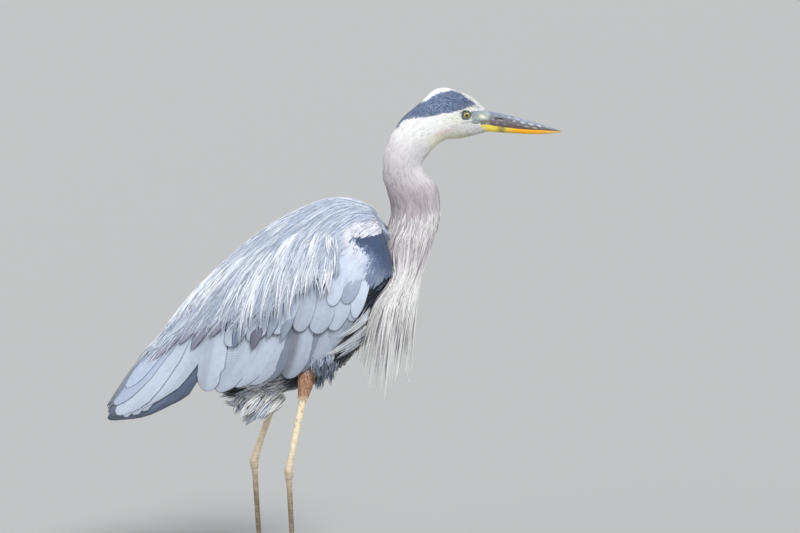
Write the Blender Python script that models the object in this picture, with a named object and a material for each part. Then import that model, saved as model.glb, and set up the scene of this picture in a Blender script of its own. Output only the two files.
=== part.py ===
"""Great blue heron, life size, standing still with folded wings.

Metres, +Z up, bill along +X, the bird's right side towards -Y, soles of the toes on z = 0.
Pieces of flesh and feather are lofts over a few named sections; neighbours keep a thin gap.
"""

import math

import bmesh
import bpy
from mathutils import Vector

# Driving dimensions

GAP = 0.0003  # clearance between neighbours
COVER = 0.0075  # depth of mantle and wing over the trunk
CLEAR = 0.0011  # room under them, as both are faceted
PLUME_LIFT = 0.0015  # long plumes lie this far over the feathers below
EDGE = 0.0008  # thickness at the edge of a feather layer

# Folded body, shoulders to tail tip. Each row: back (x, z), lower edge (x, z), half width.
BODY_ROWS = (
    (0.076, 0.543, 0.097, 0.474, 0.046),  # front of the shoulders
    (0.056, 0.571, 0.097, 0.430, 0.073),  # shoulders
    (0.009, 0.584, 0.059, 0.381, 0.083),  # top of the back
    (-0.052, 0.565, 0.002, 0.326, 0.082),  # middle of the back
    (-0.121, 0.521, -0.063, 0.299, 0.073),  # lower back
    (-0.191, 0.455, -0.139, 0.291, 0.058),  # rump
    (-0.249, 0.384, -0.214, 0.285, 0.046),  # base of the tail
    (-0.289, 0.339, -0.273, 0.264, 0.038),  # middle of the tail
    (-0.333, 0.271, -0.332, 0.259, 0.026),  # tip of the tail
)
# How far down the flank the body is widest, and how far the side closes underneath, per row.
WIDEST = (0.50, 0.50, 0.50, 0.52, 0.58, 0.66, 0.72, 0.75, 0.75)
CLOSING = (1.0, 1.0, 1.0, 1.0, 0.85, 0.60, 0.45, 0.40, 0.40)

# Head and neck, bill base to chest. Each row: back (x, z), throat side (x, z), half width.
NECK_ROWS = (
    (0.2240, 0.7128, 0.2240, 0.6822, 0.0092),  # base of the bill
    (0.2030, 0.7314, 0.1994, 0.6757, 0.0165),  # lores
    (0.1863, 0.7392, 0.1849, 0.6728, 0.0195),  # eyes
    (0.1675, 0.7452, 0.1718, 0.6721, 0.0208),  # crown
    (0.1490, 0.7425, 0.1600, 0.6684, 0.0205),  # back of the crown
    (0.1300, 0.7250, 0.1490, 0.6600, 0.0190),  # nape
    (0.0995, 0.6971, 0.1350, 0.6441, 0.0180),  # top of the hind neck
    (0.0783, 0.6551, 0.1298, 0.6316, 0.0180),  # upper bend
    (0.0747, 0.6183, 0.1341, 0.6198, 0.0192),  # under the bend
    (0.0815, 0.5925, 0.1515, 0.6030, 0.0225),  # front fold
    (0.0868, 0.5690, 0.1563, 0.5790, 0.0258),  # middle neck
    (0.0835, 0.5450, 0.1535, 0.5450, 0.0315),  # lower neck
    (0.0703, 0.5079, 0.1385, 0.5050, 0.0420),  # base of the neck
    (0.0616, 0.4600, 0.1165, 0.4520, 0.0490),  # chest
    (0.0620, 0.4280, 0.1040, 0.4200, 0.0360),  # under the chest
)
# Where head and neck are parted, counted in rows.
NECK_CUTS = {
    "head": (0, 5.6),
    "neck_upper": (5.6, 8.2),
    "neck_middle": (8.2, 11.2),
    "neck_lower": (11.2, 14),
}

# Bill: x from base to tip, ridge of the upper bill, mouth line, keel of the lower bill, half width.
BILL_ROWS = (
    (0.2243, 0.7127, 0.6940, 0.6823, 0.0092),
    (0.2480, 0.7080, 0.6900, 0.6808, 0.0072),
    (0.2780, 0.7000, 0.6866, 0.6790, 0.0054),
    (0.3080, 0.6913, 0.6847, 0.6787, 0.0036),
    (0.3300, 0.6840, 0.6831, 0.6810, 0.0011),
)
BILL_TIP = 0.0030  # reach of the tip past the last row
NOSTRIL = Vector((0.2420, 0.0078, 0.7020))
NOSTRIL_SIZE = Vector((0.0075, 0.0016, 0.0011))

EYE_CENTRE = Vector((0.1950, 0.0132, 0.7085))
EYE_RADIUS = 0.0072

# Legs. The left foot stands a short step behind the right one.
LEG_APART = 0.040
LEGS = {
    "right": {
        "side": -1,
        "hip": (-0.033, 0.345),
        "feathered_to": (-0.042, 0.296),
        "ankle": (-0.063, 0.190),
        "foot_x": -0.054,
    },
    "left": {
        "side": 1,
        "hip": (-0.062, 0.345),
        "feathered_to": (-0.079, 0.296),
        "ankle": (-0.115, 0.190),
        "foot_x": -0.104,
    },
}
THIGH_RADIUS = 0.0165
SHANK_RADIUS = 0.0052
ANKLE_RADIUS = 0.0072
FOOT_PAD = Vector((0.0085, 0.0072, 0.0068))
TOE_RADIUS = 0.0040
JOINT_SWELL = 0.00045  # how much thicker a toe is at its joints
# Toes: length without the claw, and how far each turns outward from straight ahead, degrees.
TOES = {"middle": (0.088, 4), "outer": (0.072, 34), "inner": (0.064, -27), "hind": (0.044, 172)}
CLAW_LENGTH = 0.0125
CLAW_RADIUS = 0.0024
CLAW_ARCH = 0.0024  # height of the claw's root over its tip

RING = 18  # points round head and neck
BODY_RING = 22  # points round the trunk

# Scene and materials

for old in list(bpy.data.objects):
    bpy.data.objects.remove(old, do_unlink=True)

heron = bpy.data.collections.new("great_blue_heron")
bpy.context.scene.collection.children.link(heron)
cutters = bpy.data.collections.new("cutters")
cutters.hide_render = True
bpy.context.scene.collection.children.link(cutters)


def material(name, colour, roughness=0.75):
    made = bpy.data.materials.new(name)
    made.use_nodes = True
    shader = made.node_tree.nodes["Principled BSDF"]
    shader.inputs["Base Color"].default_value = (*colour, 1.0)
    shader.inputs["Roughness"].default_value = roughness
    shader.inputs["Metallic"].default_value = 0.0
    made.diffuse_color = (*colour, 1.0)
    return made


SLATE = (0.20, 0.24, 0.32)
BLUE_GREY = (0.42, 0.47, 0.56)
PALE_GREY = (0.62, 0.66, 0.72)
WHITE = (0.85, 0.84, 0.80)
NECK_GREY = (0.66, 0.60, 0.60)
RUST = (0.42, 0.20, 0.11)
LEG_SKIN = (0.45, 0.33, 0.24)
HORN = (0.16, 0.14, 0.12)
UPPER_BILL = (0.55, 0.52, 0.45)
LOWER_BILL = (0.75, 0.50, 0.10)
IRIS = (0.75, 0.62, 0.12)

# Helpers


def smooth(rows, at):
    """The row at a fractional place, on a smooth curve through all rows."""
    last = len(rows) - 1
    at = min(max(at, 0.0), float(last))
    low = min(int(at), last - 1)
    part = at - low
    before = rows[max(low - 1, 0)]
    start = rows[low]
    end = rows[low + 1]
    after = rows[min(low + 2, last)]
    values = []
    for a, b, c, d in zip(before, start, end, after):
        bend = 2 * a - 5 * b + 4 * c - d
        twist = 3 * b - a - 3 * c + d
        values.append(b + 0.5 * ((c - a) * part + bend * part**2 + twist * part**3))
    return values


def smooth_value(values, at):
    return smooth([(value,) for value in values], at)[0]


def steps(low, high, count):
    return [low + (high - low) * index / (count - 1) for index in range(count)]


def object_from(name, bm, colour, roughness=0.75, collection=None, sharp=40):
    mesh = bpy.data.meshes.new(name)
    bmesh.ops.recalc_face_normals(bm, faces=bm.faces)
    bm.to_mesh(mesh)
    bm.free()
    mesh.shade_smooth()
    mesh.set_sharp_from_angle(angle=math.radians(sharp))
    made = bpy.data.objects.new(name, mesh)
    if colour:
        mesh.materials.append(material(name, colour, roughness))
    (collection or heron).objects.link(made)
    return made


def loft(name, rings, colour, roughness=0.75, start=None, end=None):
    """A closed skin over rings of equal count; start and end are pole points, or None for flat caps."""
    bm = bmesh.new()
    rows = [[bm.verts.new(point) for point in ring] for ring in rings]
    count = len(rows[0])
    for near, far in zip(rows, rows[1:]):
        for index in range(count):
            after = (index + 1) % count
            bm.faces.new((near[index], near[after], far[after], far[index]))
    for pole, row in ((start, rows[0]), (end, rows[-1])):
        if pole is None:
            bm.faces.new(row)
            continue
        tip = bm.verts.new(pole)
        for index in range(count):
            bm.faces.new((tip, row[index], row[(index + 1) % count]))
    return object_from(name, bm, colour, roughness)


def layer(name, surface, columns, rows, thickness, lift, colour, roughness=0.75):
    """A feather layer: a grid of surface(u, v) points, thick in the middle and thin at its edges."""
    bm = bmesh.new()
    outer = []
    inner = []
    for column in range(columns):
        u = column / (columns - 1)
        outer.append([])
        inner.append([])
        for row in range(rows):
            v = row / (rows - 1)
            point, normal = surface(u, v)
            middle = min(1.0, 4.0 * u, 4.0 * (1.0 - u), 4.0 * v, 2.5 * (1.0 - v))
            deep = EDGE + (thickness - EDGE) * math.sqrt(max(middle, 0.0))
            outer[-1].append(bm.verts.new(point + normal * lift))
            inner[-1].append(bm.verts.new(point + normal * (lift - deep)))
    for column in range(columns - 1):
        for row in range(rows - 1):
            for sheet, turn in ((outer, 1), (inner, -1)):
                corners = (
                    sheet[column][row],
                    sheet[column + 1][row],
                    sheet[column + 1][row + 1],
                    sheet[column][row + 1],
                )
                bm.faces.new(corners[::turn])
    rim = [(column, 0) for column in range(columns)]
    rim += [(columns - 1, row) for row in range(1, rows)]
    rim += [(column, rows - 1) for column in range(columns - 2, -1, -1)]
    rim += [(0, row) for row in range(rows - 2, 0, -1)]
    for (c0, r0), (c1, r1) in zip(rim, rim[1:] + rim[:1]):
        bm.faces.new((outer[c0][r0], inner[c0][r0], inner[c1][r1], outer[c1][r1]))
    return object_from(name, bm, colour, roughness)


def limb(name, path, radii, colour, roughness=0.5, sides=10, on_floor=False, squash=1.0):
    """A tapering round limb along a path, flat below where it rests on the floor."""
    rings = []
    for index, centre in enumerate(path):
        before = path[max(index - 1, 0)]
        after = path[min(index + 1, len(path) - 1)]
        along = (after - before).normalized()
        reference = Vector((0, 0, 1)) if abs(along.z) < 0.9 else Vector((0, 1, 0))
        across = along.cross(reference).normalized()
        up = across.cross(along).normalized()
        ring = []
        for side in range(sides):
            angle = 2 * math.pi * side / sides
            offset = across * (math.cos(angle) * squash) + up * math.sin(angle)
            point = centre + offset * radii[index]
            if on_floor:
                point.z = max(point.z, 0.0)
            ring.append(point)
        rings.append(ring)
    return loft(name, rings, colour, roughness)


def grown(source, amount):
    """A cutter: a copy of a piece swollen by an amount along its normals."""
    mesh = source.data.copy()
    cutter = bpy.data.objects.new(source.name + "_cutter", mesh)
    cutter.hide_render = True
    cutter.display_type = "WIRE"
    cutters.objects.link(cutter)
    bm = bmesh.new()
    bm.from_mesh(mesh)
    bmesh.ops.recalc_face_normals(bm, faces=bm.faces)
    bm.normal_update()
    moves = [(vert, vert.normal.copy()) for vert in bm.verts]
    for vert, normal in moves:
        vert.co += normal * amount * max(1.0, vert.calc_shell_factor())
    bm.to_mesh(mesh)
    bm.free()
    return cutter


def cut(target, cutter):
    modifier = target.modifiers.new("cut_" + cutter.name, "BOOLEAN")
    modifier.operation = "DIFFERENCE"
    modifier.solver = "EXACT"
    modifier.object = cutter


# Surface of the folded body


def body_point(place, angle, side, closing=None, keel=1.0):
    """A point of the folded body: place counts rows, angle runs from 0 on the back to pi underneath."""
    back_x, back_z, low_x, low_z, half_width = smooth(BODY_ROWS, place)
    widest = smooth_value(WIDEST, place)
    if closing is None:
        closing = smooth_value(CLOSING, place)
    if angle <= math.pi / 2:
        down = widest * (1 - math.cos(angle))
        out = math.sin(angle)
    else:
        down = widest + (1 - widest) * math.sin(angle - math.pi / 2)
        out = max(math.cos(closing * (angle - math.pi / 2)), 0.0) ** keel
    x = back_x + (low_x - back_x) * down
    z = back_z + (low_z - back_z) * down
    return Vector((x, side * half_width * out, z))


def angle_at(place, down):
    """The ring angle at which the flank has come down by this share of its depth."""
    widest = smooth_value(WIDEST, place)
    if down <= widest:
        return math.acos(1 - down / widest)
    return math.pi / 2 + math.asin(min((down - widest) / (1 - widest), 1.0))


def body_normal(place, angle, side, closing=None, keel=1.0):
    step = 0.02
    ahead = body_point(place + step, angle, side, closing, keel)
    behind = body_point(place - step, angle, side, closing, keel)
    lower = body_point(place, min(angle + step, math.pi), side, closing, keel)
    upper = body_point(place, max(angle - step, 0.0), side, closing, keel)
    along = ahead - behind
    round_it = lower - upper
    if round_it.length < 1e-7:
        round_it = Vector((0, side, 0))
    normal = along.cross(round_it).normalized()
    outward = body_point(place, angle, side, closing, keel) - body_centre(place)
    return normal if normal.dot(outward) > 0 else -normal


def body_centre(place):
    back_x, back_z, low_x, low_z, _ = smooth(BODY_ROWS, place)
    return Vector(((back_x + low_x) / 2, 0.0, (back_z + low_z) / 2))


# Lower edge of the folded wing and upper edge where the mantle covers it, as shares of the depth.
WING_LOW = (0.50, 0.57, 0.745, 0.80, 0.84, 0.90, 0.96, 0.97, 0.97)
WING_TOP = (0.40, 0.20, 0.20, 0.26, 0.26, 0.13, 0.05, 0.04, 0.04)
WING_START = 0.03  # first place of the folded wing
MANTLE_START = 0.12
MANTLE_END = 6.25
TRUNK_END = 5.7
TAIL_START = 5.80
TAIL_END = 8.0
TRUNK_KEEL = (2.6, 2.3, 1.6, 1.25, 1.25, 1.25, 1.25)  # above 1 breast and belly narrow to a keel


def cover_depth(place, down):
    """Room that mantle and wing take over the trunk; it thins towards their front and lower edges."""
    low = smooth_value(WING_LOW, place)
    depth = low - smooth_value(WING_TOP, place)
    edge_share = 2.5 * (low - down) / depth
    front_share = (place - WING_START) / 0.53
    thick = math.sqrt(min(max(min(edge_share, front_share), 0.0), 1.0))
    past_edge = min(max((down - low) / 0.05, 0.0), 1.0)
    return (CLEAR + EDGE) * (1 - past_edge) + (COVER - EDGE) * thick


def trunk_ring(place):
    ring = []
    taper = 1.0
    if place > TRUNK_END - 1:
        taper = math.sqrt(max(1.0 - (place - TRUNK_END + 1) ** 2, 0.0))
    if place < 0.5:
        taper = 0.86 + 0.28 * place
    centre = body_centre(place)
    keel = smooth_value(TRUNK_KEEL, place)
    for index in range(BODY_RING):
        turn = 2 * math.pi * index / BODY_RING
        side = 1 if turn <= math.pi else -1
        angle = turn if turn <= math.pi else 2 * math.pi - turn
        inset = cover_depth(place, 0.5 * (1 - math.cos(angle)))
        point = body_point(place, angle, side, 1.0, keel)
        point -= body_normal(place, angle, side, 1.0, keel) * inset
        ring.append(centre + (point - centre) * taper)
    return ring


def make_trunk():
    places = [0.0, 0.25] + steps(0.55, 4.6, 11) + [4.95, 5.25, 5.5, 5.63]
    rings = [trunk_ring(place) for place in places]
    front = body_centre(0) + Vector((0.006, 0, 0.002))
    back = body_centre(TRUNK_END)
    return loft("trunk", rings, SLATE, 0.85, front, back)


def make_mantle():
    def surface(u, v):
        place = MANTLE_START + (MANTLE_END - MANTLE_START) * u
        close = math.sqrt(max(1.0 - max((u - 0.72) / 0.28, 0.0) ** 2, 0.02))
        reach = angle_at(place, smooth_value(WING_TOP, place) - 0.012) * close
        turn = (2 * v - 1) * reach
        side = 1 if turn >= 0 else -1
        return body_point(place, abs(turn), side), body_normal(place, abs(turn), side)

    return layer("mantle", surface, 17, 9, COVER, 0.0, BLUE_GREY)


WING_LEAN = 0.10  # how far a wing's parting lines lean back on their way down, in places
WING_SCALLOP = 0.045  # how far the edge draws in between two feather tips, as a share of the depth


def wing_surface(side, start, end, tips, rounding):
    """Wing stretch between two places; its lower edge carries rounded feather tips."""

    def surface(u, v):
        place = start + (end - start) * u
        top = smooth_value(WING_TOP, place)
        low = smooth_value(WING_LOW, place)
        if rounding == "front":
            grow = max(math.sqrt(max(1.0 - max(1.0 - u / 0.22, 0.0) ** 2, 0.0)), 0.12)
            middle = top + (low - top) * 0.55
            top = middle + (top - middle) * grow
            low = middle + (low - middle) * grow
        if rounding == "back":
            shrink = math.sqrt(max(1.0 - max((u - 0.6) / 0.4, 0.0) ** 2, 0.0))
            top = low + (top - low) * max(shrink, 0.15)
        if tips:
            low -= WING_SCALLOP * (1.0 - abs(math.sin(math.pi * tips * u)) ** 0.6)
        angle = angle_at(place, top + (low - top) * v)
        leaned = place + WING_LEAN * v
        return body_point(leaned, angle, side), body_normal(leaned, angle, side)

    return surface


WING_PARTS = (
    # name, first and last place, feather tips along the edge, rounding, thickness, columns, rows, colour
    ("wing_coverts_", WING_START, 2.145, 0, "front", COVER - GAP, 11, 7, PALE_GREY),
    ("wing_secondaries_", 2.155, 5.095, 7, "", COVER - GAP, 22, 5, BLUE_GREY),
    ("wing_primaries_", 5.105, 7.55, 3, "back", 0.0035, 13, 5, SLATE),
)


def make_wings():
    for name, side in (("left", 1), ("right", -1)):
        for part, start, end, tips, rounding, thickness, columns, rows, colour in WING_PARTS:
            surface = wing_surface(side, start, end, tips, rounding)
            layer(part + name, surface, columns, rows, thickness, 0.0, colour)


def zigzag(u, teeth, notch):
    """1 at each feather tip, 1 - notch between two tips."""
    return 1.0 - notch * abs(math.cos(math.pi * teeth * u))


SCAPULAR_TIPS = 10
SCAPULAR_DEPTH = 0.0018
SCAPULAR_ROOTS = (1.9, 4.2)  # places of the first and last root
SCAPULAR_ENDS = (2.3, 5.45)  # places of the first and last tip
TAIL_FEATHERS = 6
TAIL_TUCK = 0.0048  # how far the tail lies under the wings


def make_scapular_plumes():
    """Long narrow plumes that drape from the mantle over each wing, slanting back."""
    for name, side in (("left", 1), ("right", -1)):

        def surface(u, v, side=side):
            length = zigzag(u, SCAPULAR_TIPS, 0.34)
            root_place = SCAPULAR_ROOTS[0] + (SCAPULAR_ROOTS[1] - SCAPULAR_ROOTS[0]) * u
            tip_place = SCAPULAR_ENDS[0] + (SCAPULAR_ENDS[1] - SCAPULAR_ENDS[0]) * u
            root = smooth_value(WING_TOP, root_place) - 0.05
            tip = 0.58 - 0.18 * max((u - 0.7) / 0.3, 0.0)
            place = root_place + (tip_place - root_place) * v * length
            angle = angle_at(place, root + (tip - root) * v * length)
            return body_point(place, angle, side), body_normal(place, angle, side)

        columns = 2 * SCAPULAR_TIPS + 1
        lift = PLUME_LIFT + SCAPULAR_DEPTH
        layer("scapular_plumes_" + name, surface, columns, 4, SCAPULAR_DEPTH, lift, PALE_GREY)


def make_tail():
    def surface(u, v):
        place = TAIL_START + (TAIL_END - TAIL_START) * u * zigzag(v, TAIL_FEATHERS, 0.045)
        turn = (2 * v - 1) * angle_at(place, 0.86)
        side = 1 if turn >= 0 else -1
        tuck = TAIL_TUCK * math.sqrt(max(1.0 - (max(place - 6.4, 0.0) / 1.6) ** 4, 0.0))
        tuck += 0.0045 * min(max((6.6 - place) / 0.5, 0.0), 1.0)  # deeper where the mantle ends
        normal = body_normal(place, abs(turn), side)
        return body_point(place, abs(turn), side) - normal * tuck, normal

    layer("tail", surface, 7, 13, 0.0030, 0.0, PALE_GREY)


# Head, neck, bill and eyes


def neck_ring(place, shrink=1.0):
    back_x, back_z, front_x, front_z, half_width = smooth(NECK_ROWS, place)
    back = Vector((back_x, 0, back_z))
    front = Vector((front_x, 0, front_z))
    centre = (back + front) / 2
    ring = []
    for index in range(RING):
        turn = 2 * math.pi * index / RING
        offset = (back - front) / 2 * math.cos(turn) + Vector((0, half_width * math.sin(turn), 0))
        ring.append(centre + offset * shrink)
    return ring


def neck_centre(place):
    back_x, back_z, front_x, front_z, _ = smooth(NECK_ROWS, place)
    return Vector(((back_x + front_x) / 2, 0, (back_z + front_z) / 2))


def make_head_and_neck():
    pieces = {}
    for name, (start, end) in NECK_CUTS.items():
        length = (neck_centre(end) - neck_centre(start)).length
        share = GAP / length * (end - start)
        count = 12 if name == "head" else 7
        places = steps(start + (share if start else 0.0), end, count)
        rings = [neck_ring(place) for place in places]
        last = None
        if name == "neck_lower":  # its lower end is rounded off
            rings[-1:] = [neck_ring(13.75, 0.9), neck_ring(13.95, 0.6)]
            last = neck_centre(end)
        colour = WHITE if name == "head" else NECK_GREY
        pieces[name] = loft(name, rings, colour, 0.85, None, last)
    return pieces


def make_eyes(head):
    for name, side in (("left", 1), ("right", -1)):
        bm = bmesh.new()
        bmesh.ops.create_uvsphere(bm, u_segments=12, v_segments=7, radius=EYE_RADIUS)
        centre = Vector((EYE_CENTRE.x, side * EYE_CENTRE.y, EYE_CENTRE.z))
        bmesh.ops.translate(bm, verts=bm.verts, vec=centre)
        eye = object_from("eye_" + name, bm, IRIS, 0.1, None, 80)
        cut(head, grown(eye, GAP))


def bill_ring(x, ridge, mouth, half_width, upper):
    """Rounded section between the mouth line and the ridge; flat where the two bills meet."""
    flat = mouth + (GAP / 2 if upper else -GAP / 2)
    ring = [Vector((x, y * half_width, flat)) for y in (-0.5, 0.5)]
    for index in range(7):
        turn = math.pi * index / 6
        height = math.sin(turn) ** 0.85
        ring.append(Vector((x, half_width * math.cos(turn), flat + (ridge - flat) * max(height, 0.0))))
    return ring


def make_bill():
    for name, upper in (("bill_upper", True), ("bill_lower", False)):
        rings = []
        for at in steps(0, len(BILL_ROWS) - 1, 10):
            x, ridge, mouth, keel, half_width = smooth(BILL_ROWS, at)
            rings.append(bill_ring(x, ridge if upper else keel, mouth, half_width, upper))
        x, _, mouth, keel, _ = BILL_ROWS[-1]
        if upper:
            tip = Vector((x + BILL_TIP, 0, mouth + GAP))
            cut_nostrils(loft(name, rings, UPPER_BILL, 0.35, None, tip))
        else:
            tip = Vector((x + BILL_TIP / 2, 0, (mouth + keel) / 2))
            loft(name, rings, LOWER_BILL, 0.35, None, tip)


def cut_nostrils(bill):
    for name, side in (("left", 1), ("right", -1)):
        bm = bmesh.new()
        bmesh.ops.create_uvsphere(bm, u_segments=8, v_segments=6, radius=1.0)
        bmesh.ops.scale(bm, verts=bm.verts, vec=NOSTRIL_SIZE)
        place = Vector((NOSTRIL.x, side * NOSTRIL.y, NOSTRIL.z))
        bmesh.ops.translate(bm, verts=bm.verts, vec=place)
        slit = object_from("nostril_cutter_" + name, bm, None, 0.5, cutters)
        slit.hide_render = True
        slit.display_type = "WIRE"
        cut(bill, slit)


# Breast plumes

# Locks round the breast: bearing from straight ahead in degrees, height of the tip.
PLUME_LOCKS = ((0, 0.309), (33, 0.328), (58, 0.320), (83, 0.283), (105, 0.312), (123, 0.338))
PLUME_END = (130, 0.405)  # where the curtain ends at the flank
NOTCH_DEPTH = 0.060  # how far the gaps between locks reach up
PLUME_DEPTH = 0.0022
# Where the plumes start on the neck: place, height over it, share of the bearing already turned.
PLUME_ROOTS = ((11.25, 0.0008, 0.85), (11.95, 0.0033, 0.78), (12.6, 0.0040, 0.70))
CHEST = (0.084, 0.039, 0.057, 0.430)  # the curtain's fullest level: middle x, reach in x and y, z
TIPS = (0.066, 0.045, 0.036)  # the same at the tips, which end at a height of their own
TRUNK_FADE = 0.4  # places over which the trunk widens to its full breadth under the curtain


def lock_tip(bearing):
    """Height of the tips at a bearing, as if no gap parted the locks."""
    bearing = min(abs(bearing), PLUME_LOCKS[-1][0])
    for (start, low), (end, high) in zip(PLUME_LOCKS, PLUME_LOCKS[1:]):
        if bearing <= end:
            return low + (high - low) * (bearing - start) / (end - start)


def breast_edge():
    """Bearing and height of every tip and notch, from the left side round the front to the right."""
    right = [PLUME_LOCKS[0]]
    for (start, low), (end, high) in zip(PLUME_LOCKS, PLUME_LOCKS[1:]):
        right.append(((start + end) / 2, max(low, high) + NOTCH_DEPTH))
        right.append((end, high))
    right.append(PLUME_END)
    left = [(-bearing, height) for bearing, height in reversed(right[1:])]
    return left + right


def trunk_half_width(x, z):
    """How wide the trunk is at a point of the middle plane, 0 outside its profile."""
    front, back = 0.0, float(TRUNK_END)
    for _ in range(24):
        place = (front + back) / 2
        back_x, back_z, low_x, low_z, _half = smooth(BODY_ROWS, place)
        behind = (x - back_x) * (low_z - back_z) - (z - back_z) * (low_x - back_x)
        if behind > 0:
            front = place
        else:
            back = place
    depth = (low_x - back_x) ** 2 + (low_z - back_z) ** 2
    down = ((x - back_x) * (low_x - back_x) + (z - back_z) * (low_z - back_z)) / depth
    if not 0 < down < 1:
        return 0.0
    fade = math.sqrt(min(place / TRUNK_FADE, 1.0))
    keel = smooth_value(TRUNK_KEEL, place)
    return fade * body_point(place, math.acos(1 - 2 * down), 1, 1.0, keel).y


def curtain_point(bearing, share):
    """Point of the plume curtain at a bearing, at a share of the way from the neck to the tips."""
    ahead = math.cos(math.radians(bearing))
    beside = math.sin(math.radians(bearing))
    spots = []
    for place, off, reach in PLUME_ROOTS:
        turn = math.radians(180 - reach * bearing)
        back_x, back_z, front_x, front_z, half_width = smooth(NECK_ROWS, place)
        lean = Vector((back_x - front_x, 0, back_z - front_z)) / 2
        offset = lean * math.cos(turn) + Vector((0, half_width * math.sin(turn), 0))
        spots.append(neck_centre(place) + offset * (1 + (off + 2 * GAP) / offset.length))
    chest_x, chest_ahead, chest_beside, chest_height = CHEST
    spots.append(Vector((chest_x + chest_ahead * ahead, chest_beside * beside, chest_height)))
    tip_x, tip_ahead, tip_beside = TIPS
    spots.append(Vector((tip_x + tip_ahead * ahead, tip_beside * beside, lock_tip(bearing))))
    point = Vector(smooth([tuple(spot) for spot in spots], share * (len(spots) - 1)))
    room = trunk_half_width(point.x, point.z)
    if room:  # the greater of the two, rounded over where they are alike
        room += 2.8 * PLUME_DEPTH
        point.y = math.copysign((abs(point.y) ** 8 + room**8) ** 0.125, bearing)
    return point


def share_at(bearing, height):
    """How far down the curtain a height lies at a bearing."""
    high, low = 0.0, 1.0
    for _ in range(20):
        middle = (high + low) / 2
        if curtain_point(bearing, middle).z > height:
            high = middle
        else:
            low = middle
    return high


def make_breast_plumes():
    edge = [(bearing, share_at(bearing, height)) for bearing, height in breast_edge()]

    def surface(u, v):
        bearing, reach = edge[round(u * (len(edge) - 1))]
        share = v * reach
        small = 0.01
        down = curtain_point(bearing, share + small) - curtain_point(bearing, share - small)
        across = curtain_point(bearing + 1, share) - curtain_point(bearing - 1, share)
        return curtain_point(bearing, share), down.cross(across).normalized()

    layer("breast_plumes", surface, len(edge), 8, PLUME_DEPTH, 0.0, WHITE, 0.8)


# Legs and feet

# Share of the way, and share of the radius there.
THIGH_SHAPE = ((0.0, 1.0), (0.35, 0.92), (0.7, 0.68), (1.0, 0.425))
SHANK_SHAPE = ((0.0, 1.1), (0.5, 1.0), (0.88, 1.0), (0.98, 1.15))
TARSUS_SHAPE = (
    (-0.03, 0.72),
    (0.0, 1.0),
    (0.035, 0.95),
    (0.08, 0.66),
    (0.5, 0.57),
    (0.88, 0.60),
    (0.965, 0.75),
)


def tapered(start, end, shape, radius):
    """Path and radii of a limb between two joints."""
    path = [start.lerp(end, part) for part, _ in shape]
    radii = [radius * share for _, share in shape]
    return path, radii


def make_leg(name, spec, trunk_cutter):
    y = spec["side"] * LEG_APART
    hip = Vector((spec["hip"][0], y * 0.95, spec["hip"][1]))
    feather_end = Vector((spec["feathered_to"][0], y, spec["feathered_to"][1]))
    ankle = Vector((spec["ankle"][0], y, spec["ankle"][1]))
    foot = Vector((spec["foot_x"], y * 1.05, 0.0))

    path, radii = tapered(hip, feather_end, THIGH_SHAPE, THIGH_RADIUS)
    thigh = limb("thigh_" + name, path, radii, RUST, 0.85, 12)
    cut(thigh, trunk_cutter)
    thigh_cutter = grown(thigh, GAP)

    path, radii = tapered(ankle, foot, TARSUS_SHAPE, ANKLE_RADIUS)
    tarsus = limb("tarsus_" + name, path, radii, LEG_SKIN, 0.5, 10, False, 0.88)
    tarsus_cutter = grown(tarsus, GAP)

    path, radii = tapered(feather_end.lerp(hip, 0.15), ankle, SHANK_SHAPE, SHANK_RADIUS)
    shank = limb("shank_" + name, path, radii, LEG_SKIN, 0.5, 10)
    cut(shank, thigh_cutter)
    cut(shank, tarsus_cutter)

    pad_cutter = make_foot_pad(name, foot)
    cut(tarsus, pad_cutter)
    toes = {}
    for toe, (length, bearing) in TOES.items():
        heading = math.radians(spec["side"] * bearing)
        ahead = Vector((math.cos(heading), math.sin(heading), 0))
        toes[toe] = make_toe(toe + "_" + name, foot, ahead, length, 2 if toe == "hind" else 4)
        cut(toes[toe], pad_cutter)
        make_claw(toe + "_" + name, foot + ahead * (length + GAP), ahead)
    middle_cutter = grown(toes["middle"], GAP)
    cut(toes["outer"], middle_cutter)
    cut(toes["inner"], middle_cutter)
    return thigh_cutter


def make_foot_pad(name, foot):
    bm = bmesh.new()
    bmesh.ops.create_uvsphere(bm, u_segments=12, v_segments=6, radius=1.0)
    bmesh.ops.scale(bm, verts=bm.verts, vec=FOOT_PAD)
    bmesh.ops.translate(bm, verts=bm.verts, vec=foot + Vector((0, 0, FOOT_PAD.z * 0.85)))
    for vert in bm.verts:
        vert.co.z = max(vert.co.z, 0.0)
    pad = object_from("foot_" + name, bm, LEG_SKIN, 0.55)
    return grown(pad, GAP)


def make_toe(name, foot, ahead, length, joints):
    """A toe that swells at each joint and lies flat on the floor."""
    root = 0.003
    path = []
    radii = []
    for share in steps(0.0, 1.0, 2 * joints + 1):
        radius = TOE_RADIUS * (1.0 - 0.42 * share)
        if share > 0:
            radius += JOINT_SWELL * math.cos(2 * math.pi * joints * share)
        radii.append(radius)
        path.append(foot + ahead * (root + (length - root) * share) + Vector((0, 0, radius * 0.88)))
    return limb("toe_" + name, path, radii, LEG_SKIN, 0.6, 6, True)


def make_claw(name, root, ahead):
    """A curved claw whose tip comes down to the floor."""
    path = []
    radii = []
    for share in (0.0, 0.3, 0.6, 0.85, 1.0):
        radius = CLAW_RADIUS * ((1 - share) ** 0.7 * 0.875 + 0.125)
        drop = CLAW_ARCH * (1 - 0.917 * share**2)
        path.append(root + ahead * (CLAW_LENGTH * share) + Vector((0, 0, drop + radius * 0.5)))
        radii.append(radius)
    limb("claw_" + name, path, radii, HORN, 0.35, 5, True)


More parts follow.
